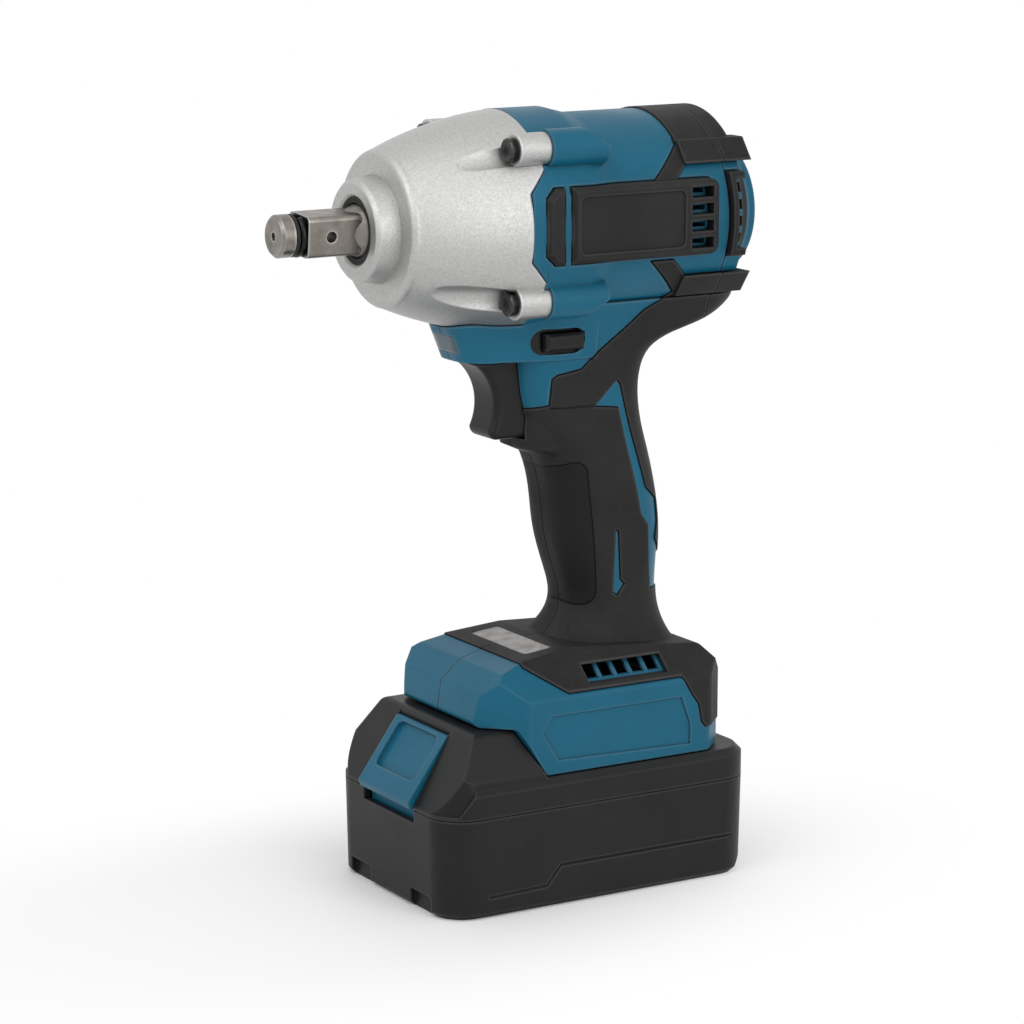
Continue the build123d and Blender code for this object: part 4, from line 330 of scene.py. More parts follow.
def moulded_panel():
    """Masks of a rounded panel in side view and of its outline; it may lean, and its top may slope."""
    group, given, out = new_group(
        "moulded panel",
        {"Middle X": 0.0, "Middle Z": 0.0, "Half X": 0.01, "Half Z": 0.01, "Corner": 0.002, "Lean": 0.0,
         "Top slope": 0.0, "Edge": 0.0006},
        {"Inside": "Float", "Line": "Float"})

    def sum_up(operation, *values):
        return calc(group, operation, *values)

    parts = place(group, "ShaderNodeSeparateXYZ", {"Vector": object_coords(group)}).outputs
    up = sum_up("SUBTRACT", parts["Z"], given["Middle Z"])
    lean = sum_up("MULTIPLY", up, given["Lean"])
    forward = sum_up("SUBTRACT", sum_up("SUBTRACT", parts["X"], given["Middle X"]), lean)
    rise = sum_up("MULTIPLY", sum_up("MULTIPLY", forward, given["Top slope"]), 0.5)
    half_up = sum_up("ADD", given["Half Z"], rise)
    past = []
    for value, half in ((forward, given["Half X"]), (sum_up("SUBTRACT", up, rise), half_up)):
        past.append(sum_up("ADD", sum_up("SUBTRACT", sum_up("ABSOLUTE", value), half), given["Corner"]))
    outer = [sum_up("MAXIMUM", value, 0.0) for value in past]
    squares = [sum_up("MULTIPLY", value, value) for value in outer]
    reach = sum_up("SQRT", sum_up("ADD", *squares))
    inner = sum_up("MINIMUM", sum_up("MAXIMUM", *past), 0.0)
    away = sum_up("SUBTRACT", sum_up("ADD", reach, inner), given["Corner"])
    inside = fading(group, away, given["Edge"], sum_up("MULTIPLY", given["Edge"], -1.0))
    group.links.new(inside, out["Inside"])
    group.links.new(fading(group, sum_up("ABSOLUTE", away), given["Edge"]), out["Line"])
    return group


def blend(tree, factor, first, second, kind="RGBA"):
    """Socket that goes from a first to a second value with a factor."""
    made = place(tree, "ShaderNodeMix", {"Factor": factor, "A": first, "B": second}, data_type=kind)
    return made.outputs["Result"]


def surface_tone():
    """Colour and roughness that drift with a patch mask, with dust on what faces up, a painted highlight on
    outer edges and painted shade in inner corners.
    """
    group, given, out = new_group(
        "surface tone",
        {"Base": (0.5, 0.5, 0.5, 1.0), "Shade": (0.4, 0.4, 0.4, 1.0), "Dust": (0.3, 0.3, 0.3, 1.0),
         "Dust share": 0.03, "Patch": 0.5, "Rough low": 0.4, "Rough high": 0.5, "Edge": 0.0,
         "Edge share": 0.1, "Corner": 0.0, "Corner share": 0.6},
        {"Colour": "Color", "Roughness": "Float"})
    specks = place(group, "ShaderNodeTexNoise",
                   {"Vector": object_coords(group), "Scale": 420.0, "Detail": 6.0, "Roughness": 0.7})
    few = place(group, "ShaderNodeMapRange", {"Value": specks.outputs[0], "From Min": 0.5, "From Max": 0.75})
    facing = place(group, "ShaderNodeNewGeometry").outputs["Normal"]
    height = place(group, "ShaderNodeSeparateXYZ", {"Vector": facing}).outputs["Z"]
    upward = place(group, "ShaderNodeMapRange",
                   {"Value": height, "From Min": -0.2, "From Max": 1.0, "To Min": 0.25})
    settled = calc(group, "MULTIPLY", few.outputs["Result"], upward.outputs["Result"])
    dusty = calc(group, "MULTIPLY", settled, given["Dust share"])
    # Painted highlight on the outer edges and painted shade in the inner corners, each scaled by its share
    painted_light_mask = calc(group, "MULTIPLY", given["Edge"], given["Edge share"])
    painted_crevice_shade = calc(group, "MULTIPLY", given["Corner"], given["Corner share"])
    tone = blend(group, given["Patch"], given["Base"], given["Shade"])
    tone = blend(group, dusty, tone, given["Dust"])
    # Painted highlight: outer edges pale towards light grey
    tone = blend(group, painted_light_mask, tone, (0.8, 0.8, 0.8, 1.0))
    # Painted shade: inner corners and gaps between parts darken towards black
    tone = blend(group, painted_crevice_shade, tone, (0.002, 0.002, 0.002, 1.0))
    rough = blend(group, given["Patch"], given["Rough low"], given["Rough high"], kind="FLOAT")
    group.links.new(tone, out["Colour"])
    group.links.new(rough, out["Roughness"])
    return group


def use_group(tree, maker, **values):
    """Place a shared node group, making it the first time; it has its maker's name."""
    made = tree.nodes.new("ShaderNodeGroup")
    made.node_tree = bpy.data.node_groups.get(maker.__name__.replace("_", " ")) or maker()
    for socket, value in values.items():
        made.inputs[socket.replace("_", " ")].default_value = value
    return made


def shader_of(material):
    """A material's Principled shader."""
    return next(made for made in material.node_tree.nodes if made.type == "BSDF_PRINCIPLED")


def blank_material(name):
    """Material with a Principled shader only."""
    material = bpy.data.materials.new(name)
    material.use_nodes = True
    return material, material.node_tree, shader_of(material)


def copied(material, name):
    """Copy of a material under its own name, with its tree and shader."""
    made = material.copy()
    made.name = name
    return made, made.node_tree, shader_of(made)


def opaque(shade):
    """Colour property as four numbers."""
    return (shade[0], shade[1], shade[2], 1.0)


def soft_bump(tree, shader, tone, height, edge, depth, strength):
    """Soft edges and relief into the shader's normal; masks of edges and corners into its tone, for a
    painted highlight on edges and painted shade in corners.
    """
    rounded = place(tree, "ShaderNodeBevel", {"Radius": edge}, samples=6)
    painted_light_mask = use_group(tree, edges_and_corners, Reach=bpy.context.scene.wrench_detail.wear_reach)
    bump = place(tree, "ShaderNodeBump", {"Distance": depth, "Strength": strength, "Height": height,
                                          "Normal": rounded.outputs["Normal"]})
    for mask in ("Edge", "Corner"):
        tree.links.new(painted_light_mask.outputs[mask], tone.inputs[mask])
    tree.links.new(bump.outputs["Normal"], shader.inputs["Normal"])


def let_in(tree, shader, mask, depth, tint, share=1.0):
    """Sink a masked area of a moulding by a depth and tint it."""
    normal, base = shader.inputs["Normal"], shader.inputs["Base Color"]
    cut = place(tree, "ShaderNodeBump", {"Distance": depth, "Strength": 1.0, "Height": mask,
                                         "Normal": normal.links[0].from_socket}, invert=True)
    part = calc(tree, "MULTIPLY", mask, share)
    tone = blend(tree, part, base.links[0].from_socket, opaque(tint))
    tree.links.new(cut.outputs["Normal"], normal)
    tree.links.new(tone, base)


def toned_material(name, tint, rough, relief, patch, bump, dust, edge_share, sockets):
    """Material whose tone drifts with a mask of its relief, with soft edges, a painted highlight on its
    edges and painted shade in its corners.

    `relief` is a node group's maker and its values, `bump` an edge radius, a depth and a strength.
    """
    found = bpy.data.materials.get(name)
    if found:
        return found
    finish = bpy.context.scene.wrench_finish
    material, tree, shader = blank_material(name)
    for socket, value in sockets.items():
        shader.inputs[socket].default_value = value
    maker, values = relief
    grain = use_group(tree, maker, **values)
    tone = use_group(tree, surface_tone, Base=opaque(getattr(finish, tint)),
                     Shade=opaque(getattr(finish, tint + "_shade")), Dust=opaque(finish.dust),
                     Dust_share=dust, Rough_low=rough[0], Rough_high=rough[1], Edge_share=edge_share)
    tree.links.new(grain.outputs[patch], tone.inputs["Patch"])
    tree.links.new(tone.outputs["Colour"], shader.inputs["Base Color"])
    tree.links.new(tone.outputs["Roughness"], shader.inputs["Roughness"])
    soft_bump(tree, shader, tone, grain.outputs["Height"], *bump)
    return material


def moulded_material(name, tint, grain, rough, gloss=0.3, depth=0.00005, strength=0.35, dust=0.02,
                     patches=28.0, edge_share=0.035):
    """Moulded plastic or rubber with a fine grain."""
    detail = bpy.context.scene.wrench_detail
    relief = (moulded_grain, {"Grains_per_metre": 1.0 / grain, "Patches_per_metre": patches})
    return toned_material(name, tint, rough, relief, "Patch", (detail.edge_softness, depth, strength),
                          dust, edge_share, {"Specular IOR Level": gloss})


def metal_material(name, tint, grain, rough, edge, strength=0.3, edge_share=0.4):
    """Blasted or cast metal with a speckle."""
    relief = (cast_grain, {"Grains_per_metre": 1.0 / grain})
    return toned_material(name, tint, rough, relief, "Speckle", (edge, 0.00004, strength),
                          dust=0.02, edge_share=edge_share, sockets={"Metallic": 1.0})


def turned_material(name, tint, rough):
    """Turned metal with oil stains."""
    detail = bpy.context.scene.wrench_detail
    return toned_material(name, tint, rough, (turning_marks, {}), "Stain", (detail.hard_edge, 0.00002, 0.3),
                          dust=0.01, edge_share=0.35, sockets={"Metallic": 1.0})


def teal_moulding():
    """Satin teal housing plastic."""
    grain = bpy.context.scene.wrench_detail.moulding_grain
    return moulded_material("teal moulding", "teal", grain, (0.36, 0.46), gloss=0.2, edge_share=0.05)


def grip_rubber():
    """Dull charcoal rubber."""
    grain = bpy.context.scene.wrench_detail.rubber_grain
    return moulded_material("grip rubber", "rubber", grain, (0.52, 0.66), gloss=0.14, depth=0.00008,
                            strength=0.5, dust=0.03)


def black_moulding():
    """Near-black satin plastic of the battery and controls."""
    grain = bpy.context.scene.wrench_detail.moulding_grain
    return moulded_material("black moulding", "black", grain, (0.36, 0.48), gloss=0.18, strength=0.4)


def display_window():
    """Silvery clouded window of the display."""
    grain = bpy.context.scene.wrench_detail.window_grain
    material = moulded_material("display window", "window", grain, (0.30, 0.40), strength=0.05,
                                patches=260.0, edge_share=0.1)
    shader = shader_of(material)
    shader.inputs["Coat Weight"].default_value = 0.1
    shader.inputs["Coat Roughness"].default_value = 0.3
    return material


def light_window():
    """Smoky lens of the work light."""
    grain = bpy.context.scene.wrench_detail.glossy_grain
    return moulded_material("light window", "lens", grain, (0.14, 0.22), gloss=0.5, strength=0.08,
                            patches=90.0)


def cast_aluminium():
    """Bead-blasted hammer case."""
    detail = bpy.context.scene.wrench_detail
    return metal_material("cast aluminium", "aluminium", detail.casting_grain, (0.46, 0.58),
                          detail.edge_softness)


def blackened_steel():
    """Oxide-blackened screws."""
    detail = bpy.context.scene.wrench_detail
    return metal_material("blackened steel", "oxide", detail.oxide_grain, (0.24, 0.34), detail.hard_edge,
                          strength=0.15, edge_share=0.06)


def drive_steel():
    """Brownish ground steel of the square drive."""
    return turned_material("drive steel", "steel", (0.26, 0.38))


def bright_steel():
    """Clean turned steel of the springs, bearings and balls."""
    return turned_material("bright steel", "bright", (0.26, 0.40))


def panelled_rubber():
    """Grip rubber with the panel in the front of the grip, the neck's moulded line and the parting line."""
    found = bpy.data.materials.get("panelled rubber")
    if found:
        return found
    finish, detail = bpy.context.scene.wrench_finish, bpy.context.scene.wrench_detail
    material, tree, shader = copied(grip_rubber(), "panelled rubber")
    panel = use_group(tree, moulded_panel, Edge=detail.seam_width, **GRIP_PANEL)
    neck = use_group(tree, moulded_panel, Edge=detail.seam_width, **NECK_LINE)
    parting = use_group(tree, parting_line, Width=detail.seam_width)
    let_in(tree, shader, panel.outputs["Inside"], detail.panel_depth, finish.panel)
    # The panel outline, the neck line and the parting line are sunk by a bump and tinted with painted groove
    # shade
    for line in (panel.outputs["Line"], neck.outputs["Inside"], parting.outputs["Line"]):
        let_in(tree, shader, line, detail.seam_depth, finish.groove, share=0.8)
    return material


def loose_boxes(node):
    """Lowest and highest corner of each loose part of a CAD node."""
    shape = bmesh.new()
    shape.from_mesh(nodes[node].data)
    bmesh.ops.remove_doubles(shape, verts=shape.verts, dist=JOIN_REACH)
    left = set(shape.verts)
    boxes = []
    while left:
        island = {left.pop()}
        fresh = list(island)
        while fresh:
            corner = fresh.pop()
            for edge in corner.link_edges:
                other = edge.other_vert(corner)
                if other not in island:
                    island.add(other)
                    fresh.append(other)
        left -= island
        low = Vector(min(corner.co[k] for corner in island) for k in range(3))
        high = Vector(max(corner.co[k] for corner in island) for k in range(3))
        boxes.append((low, high))
    shape.free()
    return boxes


def housing_teal():
    """Teal plastic with painted shade round the selector, for the shadow in its hole, and the parting line
    with painted groove shade.
    """
    found = bpy.data.materials.get("housing teal")
    if found:
        return found
    finish, detail = bpy.context.scene.wrench_finish, bpy.context.scene.wrench_detail
    material, tree, shader = copied(teal_moulding(), "housing teal")
    low, high = loose_boxes("selector")[0]
    middle = (low + high) / 2
    painted_hole_shade = use_group(tree, moulded_panel, Middle_X=middle.x + detail.pocket_lead, Middle_Z=middle.z,
                       Half_X=detail.pocket_length / 2, Half_Z=detail.pocket_height / 2,
                       Corner=detail.pocket_height / 2, Edge=detail.seam_width / 4)
    parting = use_group(tree, parting_line, Width=detail.seam_width * 0.75)
    # Painted shade: black laid, with no depth, over the oval round the selector for the shadow in its hole
    let_in(tree, shader, painted_hole_shade.outputs["Inside"], 0.0, finish.black)
    # Painted groove shade in the housing's parting line
    let_in(tree, shader, parting.outputs["Line"], detail.seam_depth * 0.6, finish.groove, share=0.5)
    return material


def mend_shading(mesh, crease):
    """Shade anew the corners that lean too far from their own face, as they do beside slivers of a mesh."""
    near, far = math.cos(math.radians(crease)), math.cos(math.radians(LEAN_LIMIT * crease))
    round_point = [[] for _ in mesh.vertices]
    for face in mesh.polygons:
        for point in face.vertices:
            round_point[point].append((face.normal.copy(), face.area))
    shading = []
    for face in mesh.polygons:
        own = face.normal.copy()
        for point, corner in zip(face.vertices, face.loop_indices):
            normal = mesh.corner_normals[corner].vector.copy()
            if normal.dot(own) < far:
                normal = Vector()
                for other, area in round_point[point]:
                    if other.dot(own) > near:
                        normal += other * area
            shading.append(normal.normalized())
    mesh.normals_split_custom_set(shading)


def finished_copy(node, material, crease=CURVE_CREASE):
    """Piece that stands for a CAD node: its faces joined and its curved faces shaded smooth."""
    mesh = bpy.data.meshes.new(node + "_finished")
    shape = bmesh.new()
    shape.from_mesh(nodes[node].data)
    bmesh.ops.remove_doubles(shape, verts=shape.verts, dist=JOIN_REACH)
    bmesh.ops.dissolve_degenerate(shape, edges=shape.edges, dist=SLIVER_REACH)
    shape.normal_update()
    for face in shape.faces:
        face.smooth = True
    for edge in shape.edges:
        edge.smooth = edge.calc_face_angle(0.0) < math.radians(crease)
    shape.to_mesh(mesh)
    shape.free()
    mesh.materials.append(material)
    piece = bpy.data.objects.new(node + "_finished", mesh)
    bpy.context.scene.collection.objects.link(piece)
    even = piece.modifiers.new("Even shading", "WEIGHTED_NORMAL")
    even.keep_sharp = True
    depsgraph = bpy.context.evaluated_depsgraph_get()
    smooth = bpy.data.meshes.new_from_object(piece.evaluated_get(depsgraph), depsgraph=depsgraph)
    piece.modifiers.clear()
    piece.data = smooth
    bpy.data.meshes.remove(mesh)
    mend_shading(smooth, crease)
    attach(piece, body_of_node[node])
    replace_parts(piece, node)
    return piece


def dress(node, material):
    """New material on a CAD node that stays as it is."""
    slots = nodes[node].data.materials
    slots.clear()
    slots.append(material)


class WRENCH_OT_housing(bpy.types.Operator):
    """Finish the moulded housing halves and the rear cover"""

    bl_idname = "wrench.housing"
    bl_label = "Housing"

    def execute(self, context):
        for node in ("left_housing", "right_housing"):
            finished_copy(node, housing_teal())
        finished_copy("rear_cover", teal_moulding())
        return {"FINISHED"}


class WRENCH_OT_grip(bpy.types.Operator):
    """Finish the rubber of the grip, the side panels and the rear bumper"""

    bl_idname = "wrench.grip"
    bl_label = "Grip rubber"

    def execute(self, context):
        for node in ("left_overmould", "right_overmould"):
            finished_copy(node, panelled_rubber())
        finished_copy("rear_bumper", grip_rubber())
        return {"FINISHED"}


class WRENCH_OT_hammer_case(bpy.types.Operator):
    """Finish the cast hammer case"""

    bl_idname = "wrench.hammer_case"
    bl_label = "Hammer case"

    def execute(self, context):
        finished_copy("hammer_case", cast_aluminium())
        return {"FINISHED"}


class WRENCH_OT_square_drive(bpy.types.Operator):
    """Finish the square drive, its rings and the nose seal"""

    bl_idname = "wrench.square_drive"
    bl_label = "Square drive"

    def execute(self, context):
        finished_copy("anvil", drive_steel())
        finished_copy("friction_ring", blackened_steel())
        finished_copy("anvil_o_ring", grip_rubber())
        finished_copy("nose_seal", grip_rubber())
        return {"FINISHED"}


class WRENCH_OT_controls(bpy.types.Operator):
    """Finish the trigger, the selector, the work light and the display"""

    bl_idname = "wrench.controls"
    bl_label = "Controls"

    def execute(self, context):
        finished_copy("trigger", black_moulding())
        finished_copy("selector", black_moulding())
        finished_copy("light_lens", light_window())
        finished_copy("display_lens", display_window())
        return {"FINISHED"}


class WRENCH_OT_battery(bpy.types.Operator):
    """Finish the battery case and its release button"""

    bl_idname = "wrench.battery"
    bl_label = "Battery"

    def execute(self, context):
        for node in ("battery_lower_case", "battery_upper_case"):
            finished_copy(node, black_moulding())
        finished_copy("release_button", teal_moulding())
        return {"FINISHED"}


def screw_tree():
    """Screws on points: a chamfered head with a hexagon socket and a plain shank, heads facing +Z."""
    tree = bpy.data.node_groups.new("socket screws", "GeometryNodeTree")
    sizes = ("Head radius", "Head length", "Socket radius", "Socket depth", "Shank radius")
    sockets = [("Spots", "Geometry")] + [(name, "Float") for name in sizes]
    for name, kind in sockets + [("Turn", "Vector"), ("Finish", "Material")]:
        tree.interface.new_socket(name, in_out="INPUT", socket_type="NodeSocket" + kind)
    tree.interface.new_socket("Screws", in_out="OUTPUT", socket_type="NodeSocketGeometry")
    given = tree.nodes.new("NodeGroupInput").outputs
    out = tree.nodes.new("NodeGroupOutput").inputs
    head_radius, head_length = given["Head radius"], given["Head length"]
    turn = place(tree, "FunctionNodeEulerToRotation", {0: given["Turn"]})

    def times(value, factor):
        return calc(tree, "MULTIPLY", value, factor)

    def raised(shape, rise):
        put = place(tree, "ShaderNodeCombineXYZ", {"Z": rise})
        moved = place(tree, "GeometryNodeTransform",
                      {"Geometry": shape, "Translation": put.outputs["Vector"]})
        return moved.outputs["Geometry"]

    def rod(sides, radius, depth):
        made = place(tree, "GeometryNodeMeshCylinder", {"Vertices": sides, "Radius": radius, "Depth": depth})
        return made.outputs["Mesh"]

    def on_spots(shape, **more):
        made = place(tree, "GeometryNodeInstanceOnPoints",
                     dict(more, Points=given["Spots"], Instance=shape, Rotation=turn.outputs[0]))
        return made.outputs["Instances"]

    drum_length = 1.0 - CHAMFER_LENGTH
    drum_middle = CHAMFER_LENGTH + drum_length / 2
    chamfer = place(tree, "GeometryNodeMeshCone",
                    {"Vertices": HEAD_SIDES, "Radius Top": times(head_radius, CHAMFER_RADIUS),
                     "Radius Bottom": head_radius, "Depth": times(head_length, CHAMFER_LENGTH)})
    rim = raised(chamfer.outputs["Mesh"], times(head_length, -CHAMFER_LENGTH))
    drum = raised(rod(HEAD_SIDES, head_radius, times(head_length, drum_length)),
                  times(head_length, -drum_middle))
    head = place(tree, "GeometryNodeMeshBoolean", operation="UNION")
    for shape in (rim, drum):
        tree.links.new(shape, head.inputs["Mesh 2"])
    socket = rod(SOCKET_SIDES, given["Socket radius"], times(given["Socket depth"], 2.0))
    cut = place(tree, "GeometryNodeMeshBoolean", {"Mesh 1": head.outputs["Mesh"], "Mesh 2": socket},
                operation="DIFFERENCE")
    heads = on_spots(cut.outputs["Mesh"])

    # A shank one metre long hangs from each spot and is scaled to the spot's reach
    pin = rod(SHANK_SIDES, given["Shank radius"], 1.0)
    hung = place(tree, "GeometryNodeTransform", {"Geometry": pin, "Translation": (0.0, 0.0, -0.5)})
    reach = place(tree, "GeometryNodeInputNamedAttribute", {"Name": "reach"}, data_type="FLOAT")
    stretch = place(tree, "ShaderNodeCombineXYZ", {"X": 1.0, "Y": 1.0, "Z": reach.outputs["Attribute"]})
    shanks = on_spots(hung.outputs["Geometry"], Scale=stretch.outputs["Vector"])

    both = place(tree, "GeometryNodeJoinGeometry")
    for shape in (heads, shanks):
        tree.links.new(shape, both.inputs["Geometry"])
    real = place(tree, "GeometryNodeRealizeInstances", {"Geometry": both.outputs["Geometry"]})
    finish = place(tree, "GeometryNodeSetMaterial",
                   {"Geometry": real.outputs["Geometry"], "Material": given["Finish"]})
    tree.links.new(finish.outputs["Geometry"], out["Screws"])
    return tree


def screw_row(node, spots, reaches, sizes, turn):
    """Screws at their heads' outer faces, each with its own reach, in place of a CAD node."""
    tree = bpy.data.node_groups.get("socket screws") or screw_tree()
    mesh = bpy.data.meshes.new(node + "_finished")
    mesh.from_pydata(spots, [], [])
    mesh.attributes.new("reach", "FLOAT", "POINT").data.foreach_set("value", reaches)
    piece = bpy.data.objects.new(node + "_finished", mesh)
    bpy.context.scene.collection.objects.link(piece)
    modifier = piece.modifiers.new("Screws", "NODES")
    modifier.node_group = tree
    values = dict(sizes, Turn=turn, Finish=blackened_steel())
    for item in tree.interface.items_tree:
        if item.in_out == "INPUT" and item.name in values:
            modifier[item.identifier] = values[item.name]
    piece.update_tag()
    made = bpy.data.meshes.new_from_object(piece.evaluated_get(bpy.context.evaluated_depsgraph_get()))
    piece.modifiers.clear()
    piece.data = made
    made.shade_smooth()
    made.set_sharp_from_angle(angle=math.radians(SCREW_CREASE))
    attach(piece, body_of_node[node])
    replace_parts(piece, node)
    return piece


class WRENCH_OT_screws(bpy.types.Operator):
    """Make the screws of the hammer case, the housing and the battery"""

    bl_idname = "wrench.screws"
    bl_label = "Screws"

    def execute(self, context):
        share = context.scene.wrench_detail.socket_share
        # Node, axis, side the heads face, turn, head length, depth of the heads' seats, shank radius
        rows = (
            ("hammer_case_screws", 0, 1, (0.0, math.pi / 2, 0.0), 0.0026, 0.0014, 0.0020),
            ("housing_screws", 1, -1, (math.pi / 2, 0.0, 0.0), 0.0024, 0.0, 0.0015),
            ("battery_screws", 2, -1, (math.pi, 0.0, 0.0), 0.0014, 0.0, 0.0011),
        )
        for node, along, side, turn, head_length, sink, shank_radius in rows:
            boxes = loose_boxes(node)
            spots = []
            for low, high in boxes:
                spot = (low + high) / 2
                spot[along] = high[along] - sink if side > 0 else low[along] + sink
                spots.append(spot)
            low, high = boxes[0]
            across = (along + 1) % 3
            head_radius = (high[across] - low[across]) / 2
            reaches = [high[along] - low[along] - sink for low, high in boxes]
            sizes = {"Head radius": head_radius, "Head length": head_length,
                     "Socket radius": head_radius * share, "Socket depth": head_length * SOCKET_DEPTH,
                     "Shank radius": shank_radius}
            screw_row(node, spots, reaches, sizes, turn)
        return {"FINISHED"}


class WRENCH_OT_springs(bpy.types.Operator):
    """Make the springs behind the hammer, the trigger and the button"""

    bl_idname = "wrench.springs"
    bl_label = "Springs"

    def execute(self, context):
        for joint in behaviour["joints"]:
            for spring in joint.get("deforming_nodes", []):
                node, letter = spring["node"], spring["mode"][-1]
                along = "xyz".index(letter)
                low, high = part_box(node)
                rest = (low + high) / 2
                rest[along] = spring["fixed_end_" + letter + "_m"]
                coil = finished_copy(node, bright_steel(), crease=COIL_CREASE)
                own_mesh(coil)
        return {"FINISHED"}


class WRENCH_OT_inner(bpy.types.Operator):
    """Give the drive train, the motor and the electronics their finishes"""

    bl_idname = "wrench.inner"
    bl_label = "Inner pieces"

    def execute(self, context):
        detail = context.scene.wrench_detail
        finishes = {
            "plain_steel": bright_steel(),
            "drive_steel": turned_material("gear steel", "gear", (0.28, 0.42)),
            "bronze": turned_material("sintered bronze", "bronze", (0.36, 0.50)),
            "copper": turned_material("bare copper", "copper", (0.28, 0.42)),
            "circuit_board": moulded_material("solder mask", "board", detail.glossy_grain, (0.25, 0.38),
                                              strength=0.2),
            "cell_can": moulded_material("cell sleeve", "sleeve", detail.sleeve_grain, (0.30, 0.40),
                                         strength=0.15),
            "black_plastic": black_moulding(),
            "cast_aluminium": cast_aluminium(),
        }
        hidden = {node for made in bpy.data.objects for node in made.get("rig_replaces", [])}
        slot_of = {part["node"]: part["material_slot"] for part in frame["record"]["subparts"]}
        for node in nodes:
            if node not in hidden:
                dress(node, finishes[slot_of[node]])
        return {"FINISHED"}


def hang(name, data, spot, direction):
    """Object for a lamp or a camera at a spot, looking in a direction."""
    holder = bpy.data.objects.new(name, data)
    holder.location = spot
    holder.rotation_euler = direction.to_track_quat("-Z", "Y").to_euler()
    bpy.context.scene.collection.objects.link(holder)
    return holder


def soft_lamp(name, spot, aim, size, watts):
    """Rectangular soft light turned to a point."""
    lamp = bpy.data.lights.new(name, "AREA")
    lamp.shape = "RECTANGLE"
    lamp.size, lamp.size_y = size
    lamp.energy = watts
    hang(name, lamp, spot, aim - spot)


def seen_ray(tree):
    """Socket that is 1 for what is looked at, straight or through gloss and glass."""
    path = place(tree, "ShaderNodeLightPath").outputs
    direct = calc(tree, "MAXIMUM", path["Is Camera Ray"], path["Is Glossy Ray"])
    return calc(tree, "MAXIMUM", direct, path["Is Transmission Ray"])


def show_mix(tree, factor, first, second, end_type):
    """Send a mix of two shaders to the tree's output."""
    mix = place(tree, "ShaderNodeMixShader", {"Fac": factor, 1: first, 2: second})
    end = next(made for made in tree.nodes if made.type == end_type)
    tree.links.new(mix.outputs["Shader"], end.inputs["Surface"])


def studio_world(sky):
    """World that lights evenly and is plain white where it is looked at."""
    world = bpy.data.worlds.new("studio")
    world.use_nodes = True
    tree = world.node_tree
    light = next(made for made in tree.nodes if made.type == "BACKGROUND")
    light.inputs["Color"].default_value = WHITE
    light.inputs["Strength"].default_value = sky
    seen = place(tree, "ShaderNodeBackground", {"Color": WHITE, "Strength": 1.0})
    show_mix(tree, seen_ray(tree), light.outputs["Background"], seen.outputs["Background"], "OUTPUT_WORLD")
    return world


def floor_material(studio, tint):
    """Pale floor that takes the shadow near the tool and fades to plain white in an oval round it."""
    material, tree, shader = blank_material("pale floor")
    shader.inputs["Base Color"].default_value = opaque(tint)
    shader.inputs["Roughness"].default_value = 0.6
    shader.inputs["Specular IOR Level"].default_value = 0.2
    oval = place(tree, "ShaderNodeMapping",
                 {"Vector": object_coords(tree),
                  "Location": (-studio.floor_lead / studio.floor_stretch, 0.0, 0.0),
                  "Scale": (1.0 / studio.floor_stretch, 1.0, 1.0)})
    away = place(tree, "ShaderNodeVectorMath", {0: oval.outputs["Vector"]}, operation="LENGTH")
    fade = place(tree, "ShaderNodeMapRange",
                 {"Value": away.outputs["Value"], "From Min": studio.clear, "From Max": studio.white},
                 interpolation_type="SMOOTHSTEP")
    share = calc(tree, "MULTIPLY", fade.outputs["Result"], seen_ray(tree))
    plain = place(tree, "ShaderNodeEmission", {"Color": WHITE, "Strength": 1.0})
    show_mix(tree, share, shader.outputs["BSDF"], plain.outputs["Emission"], "OUTPUT_MATERIAL")
    return material


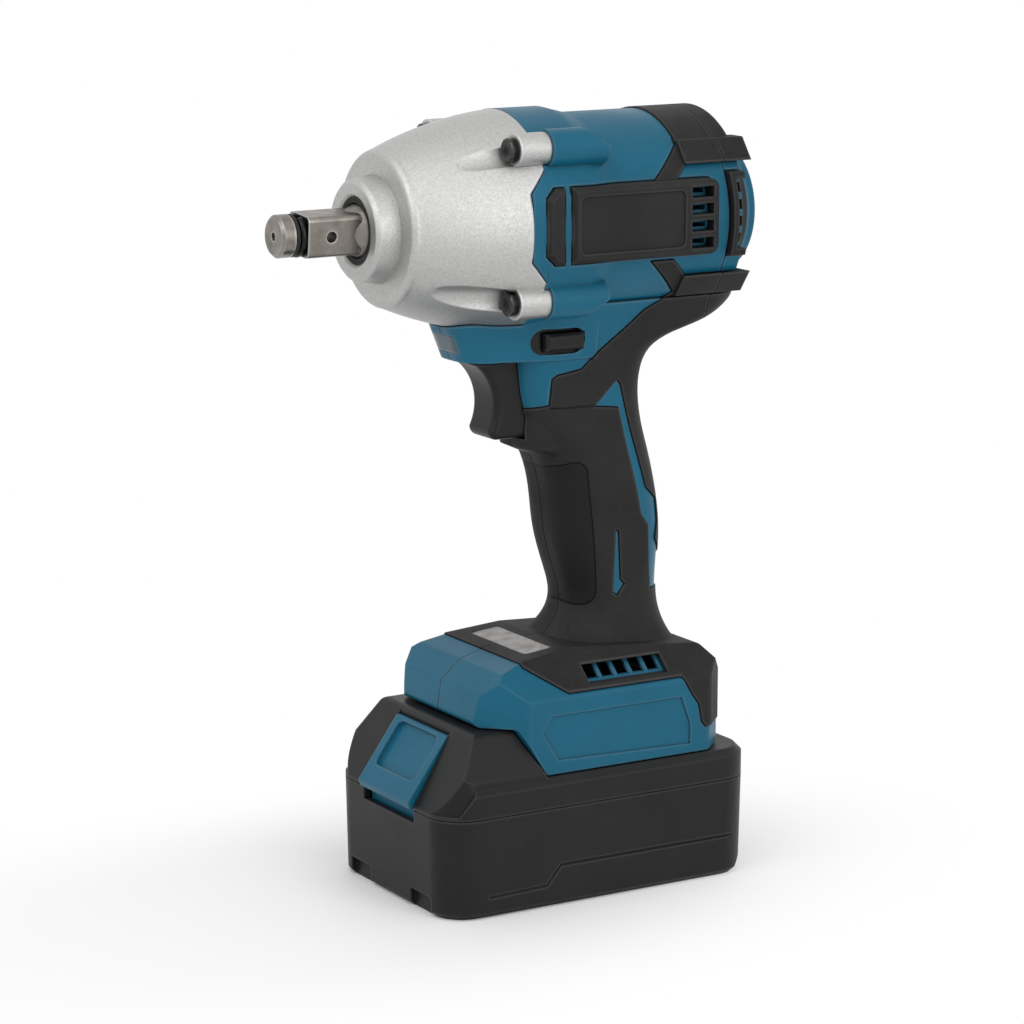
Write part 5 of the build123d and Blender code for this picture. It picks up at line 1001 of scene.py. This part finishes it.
class WRENCH_OT_stage(bpy.types.Operator):
    """Set up the pale floor, the soft studio light and the camera"""

    bl_idname = "wrench.stage"
    bl_label = "Stage"

    def execute(self, context):
        scene, studio = context.scene, context.scene.wrench_studio
        scene.view_settings.view_transform = "Standard"
        scene.world = studio_world(studio.sky)

        toward = Vector((math.sin(studio.azimuth) * math.cos(studio.elevation),
                         math.cos(studio.azimuth) * math.cos(studio.elevation), math.sin(studio.elevation)))
        target = Vector(studio.target)
        camera = bpy.data.cameras.new("photo camera")
        camera.sensor_width = 36.0
        camera.lens = studio.lens
        camera.clip_end = 100.0
        scene.camera = hang("photo camera", camera, target + studio.distance * toward, -toward)

        front = Vector((math.sin(studio.azimuth), math.cos(studio.azimuth), 0.0))
        right = Vector((-front.y, front.x, 0.0))
        up = Vector((0.0, 0.0, 1.0))
        # Name, metres from the target towards the camera, to its right and up, size and power
        lamps = (
            ("key light", 1.0, -1.1, 1.1, (1.2, 1.2), studio.key),
            ("fill light", 1.2, 1.1, 0.45, (1.0, 1.4), studio.fill),
            ("top light", 0.8, 0.0, 1.4, (2.4, 1.8), studio.top),
        )
        for name, nearer, aside, above, size, watts in lamps:
            soft_lamp(name, target + front * nearer + right * aside + up * above, target, size, watts)

        mesh = bpy.data.meshes.new("floor")
        corners = [(x * FLOOR_HALF, y * FLOOR_HALF, 0) for x, y in ((-1, -1), (1, -1), (1, 1), (-1, 1))]
        mesh.from_pydata(corners, [], [(0, 1, 2, 3)])
        mesh.materials.append(floor_material(studio, scene.wrench_finish.floor))
        floor = bpy.data.objects.new("floor", mesh)
        scene.collection.objects.link(floor)
        return {"FINISHED"}


class WRENCH_PT_panel(bpy.types.Panel):
    """Sidebar panel with one button for each group of pieces"""

    bl_idname = "WRENCH_PT_panel"
    bl_label = "Impact wrench"
    bl_space_type = "VIEW_3D"
    bl_region_type = "UI"
    bl_category = "Wrench"

    def draw(self, context):
        for operator in OPERATORS:
            self.layout.operator(operator.bl_idname)


OPERATORS = (
    WRENCH_OT_housing, WRENCH_OT_grip, WRENCH_OT_hammer_case, WRENCH_OT_square_drive, WRENCH_OT_controls,
    WRENCH_OT_battery, WRENCH_OT_screws, WRENCH_OT_springs, WRENCH_OT_inner, WRENCH_OT_stage,
)
CLASSES = (WrenchFinish, WrenchDetail, WrenchStudio) + OPERATORS + (WRENCH_PT_panel,)


def register():
    for kind in CLASSES:
        bpy.utils.register_class(kind)
    bpy.types.Scene.wrench_finish = PointerProperty(type=WrenchFinish)
    bpy.types.Scene.wrench_detail = PointerProperty(type=WrenchDetail)
    bpy.types.Scene.wrench_studio = PointerProperty(type=WrenchStudio)


def unregister():
    del bpy.types.Scene.wrench_studio
    del bpy.types.Scene.wrench_detail
    del bpy.types.Scene.wrench_finish
    for kind in reversed(CLASSES):
        bpy.utils.unregister_class(kind)


def main():
    register()
    bpy.ops.wrench.housing()
    bpy.ops.wrench.grip()
    bpy.ops.wrench.hammer_case()
    bpy.ops.wrench.square_drive()
    bpy.ops.wrench.controls()
    bpy.ops.wrench.battery()
    bpy.ops.wrench.screws()
    bpy.ops.wrench.springs()
    bpy.ops.wrench.inner()
    bpy.ops.wrench.stage()


if __name__ == "__main__":
    main()
